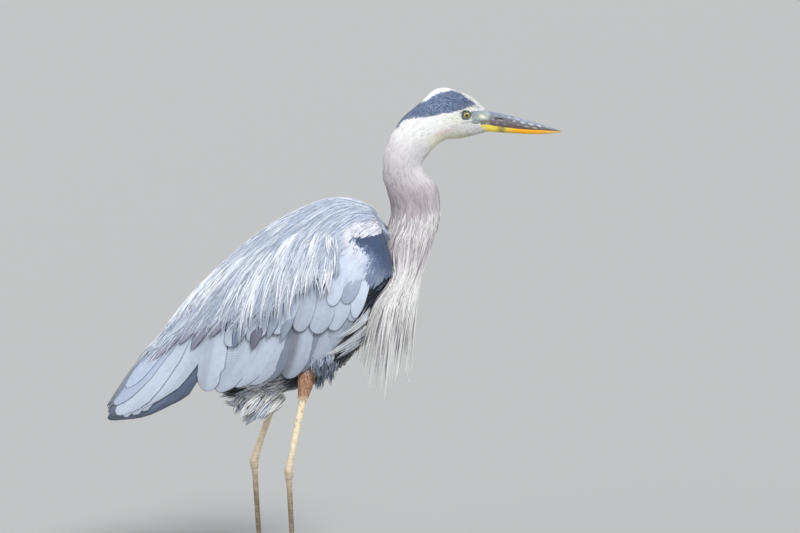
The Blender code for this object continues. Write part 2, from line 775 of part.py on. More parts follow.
# Loose pale feathers under the tail. Each row: x, middle height, half width, half depth.
VENT_ROWS = (
    (-0.070, 0.305, 0.018, 0.016),
    (-0.100, 0.298, 0.026, 0.024),
    (-0.140, 0.298, 0.028, 0.022),
    (-0.185, 0.303, 0.024, 0.015),
    (-0.225, 0.300, 0.014, 0.008),
)
VENT_FRONT = Vector((-0.062, 0, 0.305))
VENT_BACK = Vector((-0.245, 0, 0.298))
VENT_RING = 10


def make_vent(trunk_cutter, thigh_cutters):
    rings = []
    for at in steps(0, len(VENT_ROWS) - 1, 9):
        x, height, half_width, half_depth = smooth(VENT_ROWS, at)
        ring = []
        for index in range(VENT_RING):
            turn = 2 * math.pi * index / VENT_RING
            ring.append(Vector((x, half_width * math.sin(turn), height + half_depth * math.cos(turn))))
        rings.append(ring)
    vent = loft("vent", rings, WHITE, 0.85, VENT_FRONT, VENT_BACK)
    cut(vent, trunk_cutter)
    for cutter in thigh_cutters:
        cut(vent, cutter)


# The bird

trunk = make_trunk()
trunk_cutter = grown(trunk, 0.0005)
make_mantle()
make_wings()
make_scapular_plumes()
make_tail()

neck = make_head_and_neck()
cut(neck["neck_lower"], trunk_cutter)
make_eyes(neck["head"])
make_bill()
make_breast_plumes()

thigh_cutters = [make_leg(name, spec, trunk_cutter) for name, spec in LEGS.items()]
make_vent(trunk_cutter, thigh_cutters)
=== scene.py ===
import math
import bmesh
import bpy
import numpy as np
from mathutils import Matrix, Vector


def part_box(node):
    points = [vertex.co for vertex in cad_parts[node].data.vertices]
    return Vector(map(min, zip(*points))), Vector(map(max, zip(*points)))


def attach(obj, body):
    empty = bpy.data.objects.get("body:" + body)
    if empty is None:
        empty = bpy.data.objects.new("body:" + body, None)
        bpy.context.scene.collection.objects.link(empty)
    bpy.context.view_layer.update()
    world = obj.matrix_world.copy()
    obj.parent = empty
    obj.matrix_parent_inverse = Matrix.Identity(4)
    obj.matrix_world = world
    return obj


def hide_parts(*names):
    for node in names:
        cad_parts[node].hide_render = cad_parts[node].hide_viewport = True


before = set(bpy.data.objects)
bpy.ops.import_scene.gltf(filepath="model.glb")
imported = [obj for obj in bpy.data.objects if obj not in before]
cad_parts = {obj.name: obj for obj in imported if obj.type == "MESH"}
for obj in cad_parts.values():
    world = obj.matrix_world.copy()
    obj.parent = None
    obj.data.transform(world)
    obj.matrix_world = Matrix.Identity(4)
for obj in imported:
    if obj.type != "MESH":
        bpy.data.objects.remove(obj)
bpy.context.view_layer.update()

# Metres, bill along +X, the bird's right side towards -Y, floor at z = 0.
# Surfaces are written as functions of two values and every feather is laid along one of them.

chance = np.random.default_rng(11)

# folded body, shoulders to tail tip: back x, z, lower edge x, z, half width, widest share, closing underneath
bodyRows = np.array([
    (0.076, 0.543, 0.097, 0.474, 0.046, 0.50, 1.00),
    (0.056, 0.571, 0.097, 0.430, 0.073, 0.50, 1.00),
    (0.009, 0.584, 0.059, 0.381, 0.083, 0.50, 1.00),
    (-0.052, 0.565, 0.002, 0.326, 0.082, 0.52, 1.00),
    (-0.121, 0.521, -0.063, 0.299, 0.073, 0.58, 0.85),
    (-0.191, 0.455, -0.139, 0.291, 0.058, 0.66, 0.60),
    (-0.249, 0.384, -0.214, 0.285, 0.046, 0.72, 0.45),
    (-0.289, 0.339, -0.273, 0.264, 0.038, 0.75, 0.40),
    (-0.333, 0.271, -0.332, 0.259, 0.026, 0.75, 0.40),
])
bellyKeel = np.array([(2.6,), (2.3,), (1.6,)] + [(1.25,)] * 6)  # how narrow each row's keel is

# head and neck, bill base to chest: back x, z, throat x, z, half width
neckRows = np.array([
    (0.2240, 0.7128, 0.2240, 0.6822, 0.0092),
    (0.2030, 0.7314, 0.1994, 0.6757, 0.0165),
    (0.1863, 0.7392, 0.1849, 0.6728, 0.0195),
    (0.1675, 0.7452, 0.1718, 0.6721, 0.0208),
    (0.1490, 0.7425, 0.1600, 0.6684, 0.0205),
    (0.1300, 0.7250, 0.1490, 0.6600, 0.0190),
    (0.0995, 0.6971, 0.1350, 0.6441, 0.0180),
    (0.0783, 0.6551, 0.1298, 0.6316, 0.0180),
    (0.0747, 0.6183, 0.1341, 0.6198, 0.0192),
    (0.0815, 0.5925, 0.1515, 0.6030, 0.0225),
    (0.0868, 0.5690, 0.1563, 0.5790, 0.0258),
    (0.0835, 0.5450, 0.1535, 0.5450, 0.0315),
    (0.0703, 0.5079, 0.1385, 0.5050, 0.0420),
    (0.0616, 0.4600, 0.1165, 0.4520, 0.0490),
    (0.0620, 0.4280, 0.1040, 0.4200, 0.0360),
])


def curveBetween(last, at, pick):  # a smooth curve through the values that pick gives
    low = np.minimum(at.astype(int), last - 1)
    part = (at - low)[..., None]
    a, b, c, d = (pick(low + shift, last) for shift in (-1, 0, 1, 2))
    bend = 2 * a - 5 * b + 4 * c - d
    twist = 3 * b - a - 3 * c + d
    return b + 0.5 * ((c - a) * part + bend * part**2 + twist * part**3)


def smooth(rows, at):  # values between the rows
    last = len(rows) - 1
    at = np.clip(np.asarray(at, float), 0, last)
    return curveBetween(last, at, lambda index, last: rows[np.clip(index, 0, last)])


def dot(a, b):
    return np.sum(a * b, axis=-1)


def unit(v):
    return v / np.maximum(np.linalg.norm(v, axis=-1, keepdims=True), 1e-9)


def ease(value, low, high):
    part = np.clip((np.asarray(value, float) - low) / (high - low), 0, 1)
    return part * part * (3 - 2 * part)


def blend(first, second, share):
    share = np.asarray(share, float)[..., None]
    return np.asarray(first, float) * (1 - share) + np.asarray(second, float) * share


def axes(point):
    return np.moveaxis(point, -1, 0)


def near(value, width):  # 1 at zero, fading away on both sides
    return np.exp(-((value / width) ** 2))


def ripple(point, size, turn=0.0):  # gentle patchiness, -1 to 1
    x, y, z = axes(point / size)
    wave = np.sin(6.3 * x + 2.1 * z + turn) + np.sin(5.2 * z - 3.7 * y + 1.7 * turn + 1.3)
    return 0.5 * wave * np.cos(4.1 * y + 2.9 * x + turn)


# surfaces: each takes a place along and a turn around, 0 on the back, positive to the left


def bodySurface(place, turn, closed=False):
    rows = smooth(bodyRows, place)
    backX, backZ, lowX, lowZ, halfWidth, widest, closing = axes(rows)
    angle = np.abs(turn)
    past = np.maximum(angle - math.pi / 2, 0)
    upper = angle <= math.pi / 2
    down = np.where(upper, widest * (1 - np.cos(angle)), widest + (1 - widest) * np.sin(past))
    if closed:
        under = np.maximum(np.cos(past), 0) ** smooth(bellyKeel, place)[..., 0]
    else:
        under = np.maximum(np.cos(closing * past), 0)
    out = np.where(upper, np.sin(angle), under)
    x = backX + (lowX - backX) * down
    z = backZ + (lowZ - backZ) * down
    return np.stack([x, np.sign(turn) * halfWidth * out, z], axis=-1)


def bellySurface(place, turn):
    return bodySurface(place, turn, True)


def turnAt(place, down):  # the turn at which the flank has come down by this share of its depth
    widest = smooth(bodyRows, place)[..., 5]
    upper = np.arccos(np.clip(1 - down / widest, -1, 1))
    lower = math.pi / 2 + np.arcsin(np.clip((down - widest) / (1 - widest), 0, 1))
    return np.where(down <= widest, upper, lower)


def placeOf(x, z):  # place and depth share of a point seen from the side
    x, z = np.asarray(x, float), np.asarray(z, float)
    place = np.full(x.shape, 3.5)
    low, high = np.zeros(x.shape), np.full(x.shape, 8.0)
    for _ in range(30):
        place = (low + high) / 2
        backX, backZ, lowX, lowZ = axes(smooth(bodyRows, place)[..., :4])
        behind = (x - backX) * (lowZ - backZ) - (z - backZ) * (lowX - backX) > 0
        low = np.where(behind, place, low)
        high = np.where(behind, high, place)
    depth = (lowX - backX) ** 2 + (lowZ - backZ) ** 2
    down = ((x - backX) * (lowX - backX) + (z - backZ) * (lowZ - backZ)) / depth
    return place, np.clip(down, 0, 1)


def neckSurface(place, turn):
    backX, backZ, frontX, frontZ, halfWidth = axes(smooth(neckRows, place))
    x = (backX + frontX) / 2 + (backX - frontX) / 2 * np.cos(turn)
    z = (backZ + frontZ) / 2 + (backZ - frontZ) / 2 * np.cos(turn)
    return np.stack([x, halfWidth * np.sin(turn), z], axis=-1)


def frameAt(surface, a, b):  # a point, the two directions of the surface there and its normal
    step = 0.004
    alongA = (surface(a + step, b) - surface(a - step, b)) / (2 * step)
    alongB = (surface(a, b + step) - surface(a, b - step)) / (2 * step)
    return surface(a, b), alongA, alongB, unit(np.cross(alongB, alongA))


# skin: tubes drawn over the surfaces, a coat's depth inside them


def wrap(across, along, shape):  # a grid whose points a shape function moves
    bm = bmesh.new()
    bmesh.ops.create_grid(bm, x_segments=across, y_segments=along, size=0.5)
    grid = np.round(np.array([vert.co for vert in bm.verts]) + 0.5, 6)
    placed = shape(grid[:, 0], grid[:, 1])
    for vert, point in zip(bm.verts, placed):
        vert.co = point
    bmesh.ops.remove_doubles(bm, verts=bm.verts, dist=1e-6)
    bmesh.ops.recalc_face_normals(bm, faces=bm.faces)
    return bm


def makeObject(name, bm, material=None, sharp=50):
    mesh = bpy.data.meshes.new(name)
    bm.to_mesh(mesh)
    bm.free()
    mesh.shade_smooth()
    mesh.set_sharp_from_angle(angle=math.radians(sharp))
    if material:
        mesh.materials.append(material)
    made = bpy.data.objects.new(name, mesh)
    bpy.context.scene.collection.objects.link(made)
    return made


def tube(path, radii, across, along, flatten=1.0, floor=False, ridges=0.0, ridgeCount=0):
    path = np.array(path, float)
    radii = np.array(radii, float)[:, None]

    def shape(u, v):
        at = v * (len(path) - 1)
        centre = smooth(path, at)
        heading = unit(smooth(path, at + 0.05) - smooth(path, at - 0.05))
        steep = np.abs(heading[:, 2:]) >= 0.8
        side = unit(np.cross(heading, np.where(steep, (0, 1.0, 0), (0, 0, 1.0))))
        up = unit(np.cross(side, heading))
        ends = np.clip(np.minimum(v, 1 - v) * along / 1.5, 0, 1)
        radius = smooth(radii, at)[:, 0] * np.sqrt(ends)
        if ridgeCount:
            radius = radius * (1 + ridges * (1 - (v * ridgeCount) % 1.0))
        angle = 2 * math.pi * u
        offset = side * (np.cos(angle) * flatten)[:, None] + up * np.sin(angle)[:, None]
        point = centre + offset * radius[:, None]
        if floor:
            point[:, 2] = np.maximum(point[:, 2], 0)
        return point

    return wrap(across, along, shape)


eye = {
    "lidAcross": 0.0056,  # half length of the opening between the lids
    "lidUp": 0.0047,
    "lidThick": 0.0008,
    "pupil": 0.0023,
    "iris": 0.0052,
    "bulge": (0.0004, 0.0045),  # how far the clear front stands out, and how wide it is
}
eyeLow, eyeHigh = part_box("eye_right")
eyeCentre = (eyeLow + eyeHigh) / 2
eyeRadius = (eyeHigh.z - eyeLow.z) / 2

headLook = {
    "coat": 0.0012,  # depth of the feathers on the face
    "crownCoat": 0.0022,
    "neckCoat": 0.0040,
    "gapeFrom": (0.2000, 0.6945),
    "gapeTo": (0.2243, 0.6940),
    "gapeDeep": 0.0009,
    "socketDeep": (0.0020, 0.0042),  # the hollow round the eye, and the opening for the eye itself
    "loreDeep": 0.0007,
}


def gapeHeight(x):
    (backX, backZ), (frontX, frontZ) = headLook["gapeFrom"], headLook["gapeTo"]
    return backZ + (frontZ - backZ) * np.clip((x - backX) / (frontX - backX), 0, 1)


def fromEye(x, z, stretch=1.15):
    return np.hypot((x - eyeCentre.x) / stretch, z - eyeCentre.z)


softMarks = {  # x, z, width along x and along z, lean of x with z, slope of z with x
    "loreHollow": (0.2120, 0.7040, 0.008, 0.0045, 0, 0),
    "throatShadow": (0.118, 0.640, 0.011, 0.022, 0.5, 0),
    "blush": (0.166, 0.6855, 0.014, 0.0040, 0, 0.25),
    "cheekCream": (0.181, 0.7025, 0.016, 0.0055, 0, 0),
    "loreCream": (0.2175, 0.7055, 0.0042, 0.0026, -0.8, 0),
    "shoulder": (0.040, 0.530, 0.015, 0.014, 0, 0),
}
softLines = {  # x, z, slope and width of the thin lines of the face
    "underEye": (0.205, 0.6990, 0.08, 0.0011),
    "brow": (0.195, 0.7168, 0.12, 0.0022),
    "lore": (0.212, 0.7000, -0.10, 0.0012),
    "aboveGape": (0.212, 0.6978, 0, 0.0024),
}


def onMark(name, x, z):
    middleX, middleZ, wideX, wideZ, lean, slope = softMarks[name]
    x, z = x - middleX, z - middleZ
    return near(x - lean * z, wideX) * near(z - slope * x, wideZ)


def onLine(name, x, z):
    startX, startZ, slope, width = softLines[name]
    return near(z - startZ - slope * (x - startX), width)


def headDent(point):  # how far the skin sinks at the eye socket and the gape
    x, y, z = axes(point)
    away = fromEye(x, z)
    hollow, opening = headLook["socketDeep"]
    socket = hollow * (1 - ease(away, 0.0055, 0.0120)) + opening * (1 - ease(away, 0.0036, 0.0052))
    lore = headLook["loreDeep"] * onMark("loreHollow", x, z)
    line = near(z - gapeHeight(x), 0.0007) * ease(x, 0.1990, 0.2060)
    return (socket + lore + headLook["gapeDeep"] * line) * ease(np.abs(y), 0.002, 0.007)


def coatDepth(place, turn):
    fromBack = np.abs((turn + math.pi) % (2 * math.pi) - math.pi)
    crown = headLook["crownCoat"] * (1 - ease(fromBack, 0.5, 1.5)) * ease(place, 0.5, 2.0)
    onNeck = (headLook["neckCoat"] - headLook["coat"]) * ease(place, 4.5, 8.0)
    onBill = ease(place, 0.0, 0.7)
    return (headLook["coat"] + crown + onNeck) * onBill + 0.0001


def skinOfNeck(u, v):
    place = 14.0 * np.where(v < 0.45, v / 0.45 * 0.36, 0.36 + (v - 0.45) / 0.55 * 0.64)
    turn = 2 * math.pi * u
    point, _, _, normal = frameAt(neckSurface, place, turn)
    inside = coatDepth(place, turn) + headDent(point) * (place < 4)
    point = point - normal * inside[:, None]
    centre = (neckSurface(place, 0 * turn) + neckSurface(place, 0 * turn + math.pi)) / 2
    ends = np.minimum(np.clip(v / 0.004, 0, 1), np.clip((1 - v) / 0.03, 0, 1))
    return centre + (point - centre) * np.sqrt(ends)[:, None]


def skinOfTrunk(u, v):
    place = 0.02 + 5.9 * v
    turn = 2 * math.pi * u
    turn = np.where(turn > math.pi, turn - 2 * math.pi, turn)
    point, _, _, normal = frameAt(bellySurface, place, turn)
    under = ease(np.abs(turn), 1.9, 2.6)
    point = point - normal * (0.0105 - 0.0045 * under)[:, None]
    centre = (bodySurface(place, 0 * turn) + bodySurface(place, 0 * turn + math.pi)) / 2
    centre[:, 1] = 0
    ends = np.minimum(np.clip(v / 0.05, 0, 1), np.clip((1 - v) / 0.22, 0, 1))
    return centre + (point - centre) * np.sqrt(ends)[:, None]


legs = {
    "right": {
        "side": -1,
        "hip": (-0.033, 0.345), "feathered": (-0.042, 0.296), "ankle": (-0.063, 0.190), "foot": -0.054,
    },
    "left": {
        "side": 1,
        "hip": (-0.062, 0.345), "feathered": (-0.079, 0.296), "ankle": (-0.115, 0.190), "foot": -0.104,
    },
    "apart": 0.040,
    # share of the way down and radius there, from the feathers to the ankle and from the ankle to the foot
    "shank": ((0.30, 0.0057), (0.60, 0.0052), (0.85, 0.0054), (0.96, 0.0066)),
    "tarsus": (
        (0.01, 0.0071), (0.05, 0.0064), (0.10, 0.0047), (0.30, 0.0041),
        (0.60, 0.0041), (0.86, 0.0043), (0.96, 0.0055), (0.985, 0.0050),
    ),
    "scutes": 110,
}
# length, and bearing in degrees away from the bill's heading
toes = {"middle": (0.088, 4), "outer": (0.072, 34), "inner": (0.064, -27), "hind": (0.044, 172)}
footLook = {
    "toeRadius": 0.0040,
    "swell": 0.00045,  # how much thicker a toe is at its joints
    "padRadius": 0.0076,
    "claw": 0.0125,
    "clawRadius": 0.0024,
}


def legPoints(spec):
    y = spec["side"] * legs["apart"]
    hip = np.array((spec["hip"][0], y * 0.95, spec["hip"][1]))
    feathered = np.array((spec["feathered"][0], y, spec["feathered"][1]))
    ankle = np.array((spec["ankle"][0], y, spec["ankle"][1]))
    foot = np.array((spec["foot"], y * 1.05, 0.0))
    return hip, feathered, ankle, foot


def toeHeading(spec, bearing):
    heading = math.radians(spec["side"] * bearing)
    return np.array((math.cos(heading), math.sin(heading), 0))


def skinOfLeg(spec):
    hip, feathered, ankle, foot = legPoints(spec)
    heel = foot + np.array((0, 0, 0.004))
    path = [hip + (hip - feathered) * 0.3, hip, hip * 0.4 + feathered * 0.6, feathered]
    radii = [0.0100, 0.0112, 0.0086, 0.0063]
    for rows, top, low in ((legs["shank"], feathered, ankle), (legs["tarsus"], ankle, heel)):
        for share, radius in rows:
            path.append(top * (1 - share) + low * share)
            radii.append(radius)
    parts = [tube(path, radii, 24, 330, flatten=0.9, ridges=0.035, ridgeCount=legs["scutes"])]
    pad = bmesh.new()
    bmesh.ops.create_uvsphere(pad, u_segments=24, v_segments=14, radius=footLook["padRadius"])
    for vert in pad.verts:
        vert.co.z = max(vert.co.z * 0.86 + 0.0056, 0.0)
        vert.co.x = vert.co.x * 1.08 + foot[0]
        vert.co.y = vert.co.y * 0.92 + foot[1]
    parts.append(pad)
    for name, (length, bearing) in toes.items():
        ahead = toeHeading(spec, bearing)
        joints = 2 if name == "hind" else 4
        path, radii = [], []
        for share in np.linspace(0, 1, 6 * joints + 1):
            radius = footLook["toeRadius"] * (1 - 0.42 * share)
            radius += footLook["swell"] * math.cos(2 * math.pi * joints * share) * (share > 0)
            path.append(foot + ahead * (0.003 + (length - 0.003) * share) + np.array((0, 0, radius * 0.88)))
            radii.append(radius)
        parts.append(tube(path, radii, 14, 22 * joints, 1.0, True, 0.05, 9 * joints))
    return parts


def lidRing(side):
    def shape(u, v):
        around, across = 2 * math.pi * u, 2 * math.pi * v
        pinch = 1 + 0.10 * np.abs(np.cos(around)) ** 6
        x = eye["lidAcross"] * np.cos(around) * pinch
        z = eye["lidUp"] * np.sin(around)
        reach = np.hypot(x, z)
        y = abs(eyeCentre.y) + np.sqrt(np.maximum(eyeRadius**2 - reach**2, 0)) - 0.0001
        thick = eye["lidThick"] * np.array(1 + 0.3 * np.maximum(np.sin(around), 0))
        outward = 1 + 1.1 * thick * np.cos(across) / reach
        y = side * (y + thick * np.sin(across))
        return np.stack([eyeCentre.x + x * outward, y, eyeCentre.z + z * outward], -1)

    return wrap(73, 15, shape)


def makeSkin(material):
    parts = [wrap(121, 420, skinOfNeck), wrap(97, 120, skinOfTrunk)]
    for spec in (legs["right"], legs["left"]):
        parts += skinOfLeg(spec)
    parts += [lidRing(-1), lidRing(1)]
    solids = [makeObject("skinPart", bm) for bm in parts]
    skin = solids[0]
    for other in solids[1:]:
        union = skin.modifiers.new("join", "BOOLEAN")
        union.operation = "UNION"
        union.solver = "MANIFOLD"
        union.object = other
    bpy.context.view_layer.update()
    graph = bpy.context.evaluated_depsgraph_get()
    mesh = bpy.data.meshes.new_from_object(skin.evaluated_get(graph))
    for solid in solids:
        bpy.data.objects.remove(solid, do_unlink=True)
    mesh.name = "skin"
    mesh.materials.clear()
    mesh.materials.append(material)
    made = bpy.data.objects.new("skin", mesh)
    bpy.context.scene.collection.objects.link(made)
    return made


def addTint(mesh, colours):
    layer = mesh.attributes.new("tint", "FLOAT_COLOR", "POINT")
    filled = np.ones((len(mesh.vertices), 4), np.float32)
    filled[:, :3] = colours
    layer.data.foreach_set("color", filled.ravel())


def spotsOf(mesh):
    spots = np.empty(len(mesh.vertices) * 3, np.float32)
    mesh.vertices.foreach_get("co", spots)
    return spots.reshape(-1, 3).astype(float)


# feathers: one vane shape laid many times over a surface, its root sunk in the coat and its tip on top


def cutVane(sides, stations, widths, thin=0.5):
    def shape(u, v):
        angle = 2 * math.pi * u
        at = v * (len(stations) - 1)
        wide = np.interp(at, range(len(stations)), widths)
        return np.stack([np.cos(angle) * wide, at, np.sin(angle) * wide**thin], -1)

    bm = wrap(sides, len(stations) - 1, shape)
    bmesh.ops.triangulate(bm, faces=bm.faces)
    spots = np.array([vert.co for vert in bm.verts])
    faces = np.array([[vert.index for vert in face.verts] for face in bm.faces])
    bm.free()
    station = np.round(spots[:, 1]).astype(int)
    return {
        "stations": np.array(stations),
        "station": station,
        "share": np.array(stations)[station],
        "across": spots[:, 0],
        "up": spots[:, 2],
        "faces": faces,
    }


vanes = {
    "scale": cutVane(4, (0, 0.3, 0.72, 1), (0, 0.8, 1, 0)),
    "hair": cutVane(3, (0, 0.25, 0.6, 0.85, 1), (0, 1, 0.85, 0.5, 0)),
    "leaf": cutVane(4, (0, 0.2, 0.5, 0.8, 1), (0, 0.85, 1, 0.7, 0)),
    "plume": cutVane(4, (0, 0.12, 0.3, 0.5, 0.68, 0.82, 0.93, 1), (0, 0.8, 1, 0.95, 0.75, 0.5, 0.25, 0)),
    "lance": cutVane(
        8,
        (0, 0.1, 0.25, 0.45, 0.62, 0.76, 0.88, 0.96, 1),
        (0, 0.7, 1, 1, 0.9, 0.72, 0.46, 0.2, 0),
    ),
    "blade": cutVane(
        14,
        (0, 0.06, 0.18, 0.34, 0.5, 0.62, 0.73, 0.82, 0.89, 0.945, 0.98, 1),
        (0, 0.5, 0.8, 0.95, 1, 1, 0.96, 0.86, 0.71, 0.52, 0.31, 0),
    ),
}


# the part of each surface that the maps cover, along and around, and the size of one feather on them
allRound = (0.0, 2 * math.pi)
neckRange = ((0.0, 14.0), allRound)
bodyRange = ((0.0, 8.0), (-math.pi, math.pi))
patchSize = 0.003


def slide(surface, a, b, offset):  # moves a place on the surface by an offset in space
    _, alongA, alongB, _ = frameAt(surface, a, b)
    aa, ab, bb = dot(alongA, alongA), dot(alongA, alongB), dot(alongB, alongB)
    onA, onB = dot(offset, alongA), dot(offset, alongB)
    area = np.maximum(aa * bb - ab * ab, 1e-10)
    return a + (onA * bb - onB * ab) / area, b + (onB * aa - onA * ab) / area


def walk(surface, aim, a, b, length, shares):  # feathers' middle lines, from their roots along the lie
    points, normals, places, turns = [], [], [], []
    heading, turned = None, chance.normal(0, 1, len(a))
    for index, share in enumerate(shares):
        point, alongA, alongB, normal = frameAt(surface, a, b)
        if index:
            stride = (length * (share - shares[index - 1]))[:, None]
            short = np.linalg.norm(point - points[-1], axis=-1, keepdims=True) < 0.5 * stride
            point = np.where(short, points[-1] + heading * stride, point)
            normal = np.where(short, normals[-1], normal)
        wish = aim(point, alongA, alongB, share, turned)
        heading = unit(wish - normal * dot(wish, normal)[:, None])
        points.append(point)
        normals.append(normal)
        places.append(a)
        turns.append(b)
        if index < len(shares) - 1:
            a, b = slide(surface, a, b, heading * (length * (shares[index + 1] - share))[:, None])
    return np.stack(points, 1), np.stack(normals, 1), np.stack(places, 1), np.stack(turns, 1)


# a look gives half width, levels of root and tip over the surface and thickness, and if wanted where the
# tip's level is reached, hollowness, tilt, random roll, ragged edges and whether the vane hugs the surface
def layVanes(vane, surface, path, look, tint, patch=None):
    points, normals, places, turns = path
    count, station, share = len(points), vane["station"], vane["share"]
    half = np.broadcast_to(look["half"], count).astype(float)
    low = np.broadcast_to(look["root"], count).astype(float)[:, None]
    high = np.broadcast_to(look["tip"], count).astype(float)[:, None]
    rise = low + (high - low) * ease(vane["stations"], 0, look.get("riseEnd", 0.8))[None]
    points = points + normals * rise[..., None]
    along = np.empty_like(points)
    along[:, 1:-1] = points[:, 2:] - points[:, :-2]
    along[:, 0] = points[:, 1] - points[:, 0]
    along[:, -1] = points[:, -1] - points[:, -2]
    along, normals = unit(along), normals[:, station]
    along = along[:, station]
    beside = unit(np.cross(along, normals))
    normals = np.cross(beside, along)
    wobble = 1 + look.get("ragged", 0) * chance.normal(0, 1, (count, len(vane["stations"])))[:, station]
    across = half[:, None] * vane["across"] * wobble
    if look.get("hug"):
        a, b = places[:, station], turns[:, station]
        start = surface(a, b)
        moved = surface(*slide(surface, a, b, beside * across[..., None])) - start
        sideways = np.where(np.abs(across[..., None]) > 1e-6, moved, 0)
        off = np.linalg.norm(sideways, axis=-1) > 2 * np.abs(across) + 1e-4
        sideways = np.where(off[..., None], beside * across[..., None], sideways)
    else:
        sideways = beside * across[..., None]
    roll = look.get("tilt", 0) + chance.normal(0, look.get("roll", 0.1), count)[:, None]
    cup = look.get("cup", 0.12) * np.abs(vane["across"]) ** 2 * half[:, None]
    lift = vane["up"] * look["thick"] + across * roll - cup
    spots = points[:, station] + sideways + normals * lift[..., None]
    spots[..., 2] = np.maximum(spots[..., 2], 0.0005)
    colours = tint(points[:, 0], spots, share, vane["across"])
    faces = vane["faces"][None] + np.arange(count)[:, None, None] * len(station)
    if patch is None:
        patch = patchOn(places[:, 0], turns[:, 0], *bodyRange)
    vaneMap = np.stack([0.5 + 0.5 * vane["across"], share], -1)
    patchMap = patch[:, None, :] + (vaneMap[None] - 0.5) * patchSize
    made = (spots, faces, colours, np.broadcast_to(vaneMap, patchMap.shape), patchMap)
    return tuple(values.reshape(-1, values.shape[-1]) for values in made)


def joinCoat(name, layers, material, slot, *nodes, edge=70):  # edge: bends sharper than this stay crisp
    starts = np.cumsum([0] + [len(layer[0]) for layer in layers])
    spots, _, colours, vaneMap, patchMap = (np.concatenate(values) for values in zip(*layers))
    faces = np.concatenate([layer[1] + start for layer, start in zip(layers, starts)])
    mesh = bpy.data.meshes.new(name)
    mesh.vertices.add(len(spots))
    mesh.vertices.foreach_set("co", spots.astype(np.float32).ravel())
    mesh.loops.add(faces.size)
    mesh.loops.foreach_set("vertex_index", faces.astype(np.int32).ravel())
    mesh.polygons.add(len(faces))
    mesh.polygons.foreach_set("loop_start", np.arange(0, faces.size, 3, dtype=np.int32))
    mesh.update(calc_edges=True)
    for layerName, values in (("OFBake", patchMap), ("vane", vaneMap)):
        layer = mesh.uv_layers.new(name=layerName)
        layer.data.foreach_set("uv", values[faces.ravel()].astype(np.float32).ravel())
    addTint(mesh, colours)
    mesh.shade_smooth()
    mesh.set_sharp_from_angle(angle=math.radians(edge))
    mesh.materials.append(material)
    made = bpy.data.objects.new(name, mesh)
    bpy.context.scene.collection.objects.link(made)
    finishPiece(made, slot, *nodes)
    print(f"{name}: {len(faces)} faces")


def finishPiece(piece, slot, *nodes):
    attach(piece, "root")
    if nodes:
        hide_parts(*nodes)


def distances(line):
    return np.concatenate([[0], np.cumsum(np.linalg.norm(np.diff(line, axis=0), axis=1))])


def sow(surface, spec, keep=None, spread=0.3):  # roots in staggered rows
    (aFrom, aTo), (bFrom, bTo) = spec["rows"], spec["turns"]
    fine = np.linspace(aFrom, aTo, 200)
    middle = surface(fine, np.full(200, (bFrom + bTo) / 2))
    edge = surface(fine, np.full(200, bTo))
    run = max((distances(middle), distances(edge)), key=lambda line: line[-1])
    rows = np.interp(np.arange(0, run[-1], spec["rowGap"]), run, fine)
    allA, allB = [], []
    for index, row in enumerate(rows):
        turns = np.linspace(bFrom, bTo, 90)
        ring = surface(np.full(90, row), turns)
        reach = distances(ring)
        count = max(int(reach[-1] / spec["gap"]), 1)
        at = (np.arange(count) + 0.25 + 0.5 * (index % 2) + chance.uniform(-spread, spread, count)) / count
        allB.append(np.interp(at * reach[-1], reach, turns))
        allA.append(row + chance.uniform(-spread, spread, count) * (rows[1] - rows[0]))
    a, b = np.clip(np.concatenate(allA), aFrom, aTo), np.concatenate(allB)
    if keep is not None:
        kept = keep(surface(a, b), a, b)
        a, b = a[kept], b[kept]
    return a, b


def patchOn(a, b, aRange, bRange):
    shares = [(value - low) / (high - low) for value, (low, high) in ((b, bRange), (a, aRange))]
    return 0.02 + 0.96 * np.stack(shares, -1)


# a lie that heads one way in space, and away from a source near it
def along(direction, wander=0.12, source=None, reach=0.06):
    wanted = unit(np.array(direction, float))

    def aim(point, alongA, alongB, share, turned):
        heading = np.broadcast_to(wanted, point.shape)
        if source is not None:
            away = point - np.array(source)
            far = np.linalg.norm(away, axis=-1, keepdims=True)
            heading = heading + 2.2 * near(far, reach) * unit(away)
        return heading + unit(alongB) * (wander * turned)[:, None]

    return aim


def alongRows(wander=0.12):  # a lie that follows the surface from row to row
    def aim(point, alongA, alongB, share, turned):
        return unit(alongA) + unit(alongB) * (wander * turned)[:, None]

    return aim


# feathers coloured by the place they start from, darker towards the root as painted shade under the feathers
# that lie over it
def shades(colourOf, root=0.72, rim=1.08, vary=0.07):
    def tint(start, spots, share, across):
        colour = np.broadcast_to(colourOf(start), start.shape)[:, None, :]
        tone = 1 + vary * chance.uniform(-1, 1, (len(start), 1))
        body = root + (1 - root) * ease(share, 0.0, 0.5)
        return colour * (tone * body * (1 + (rim - 1) * across**2))[..., None]

    return tint


def bend(first, middle, last, at):
    first, middle, last = first[:, None], middle[:, None], last[:, None]
    at = np.asarray(at)[None, :, None]
    return first * (1 - at) ** 2 + 2 * middle * at * (1 - at) + last * at**2


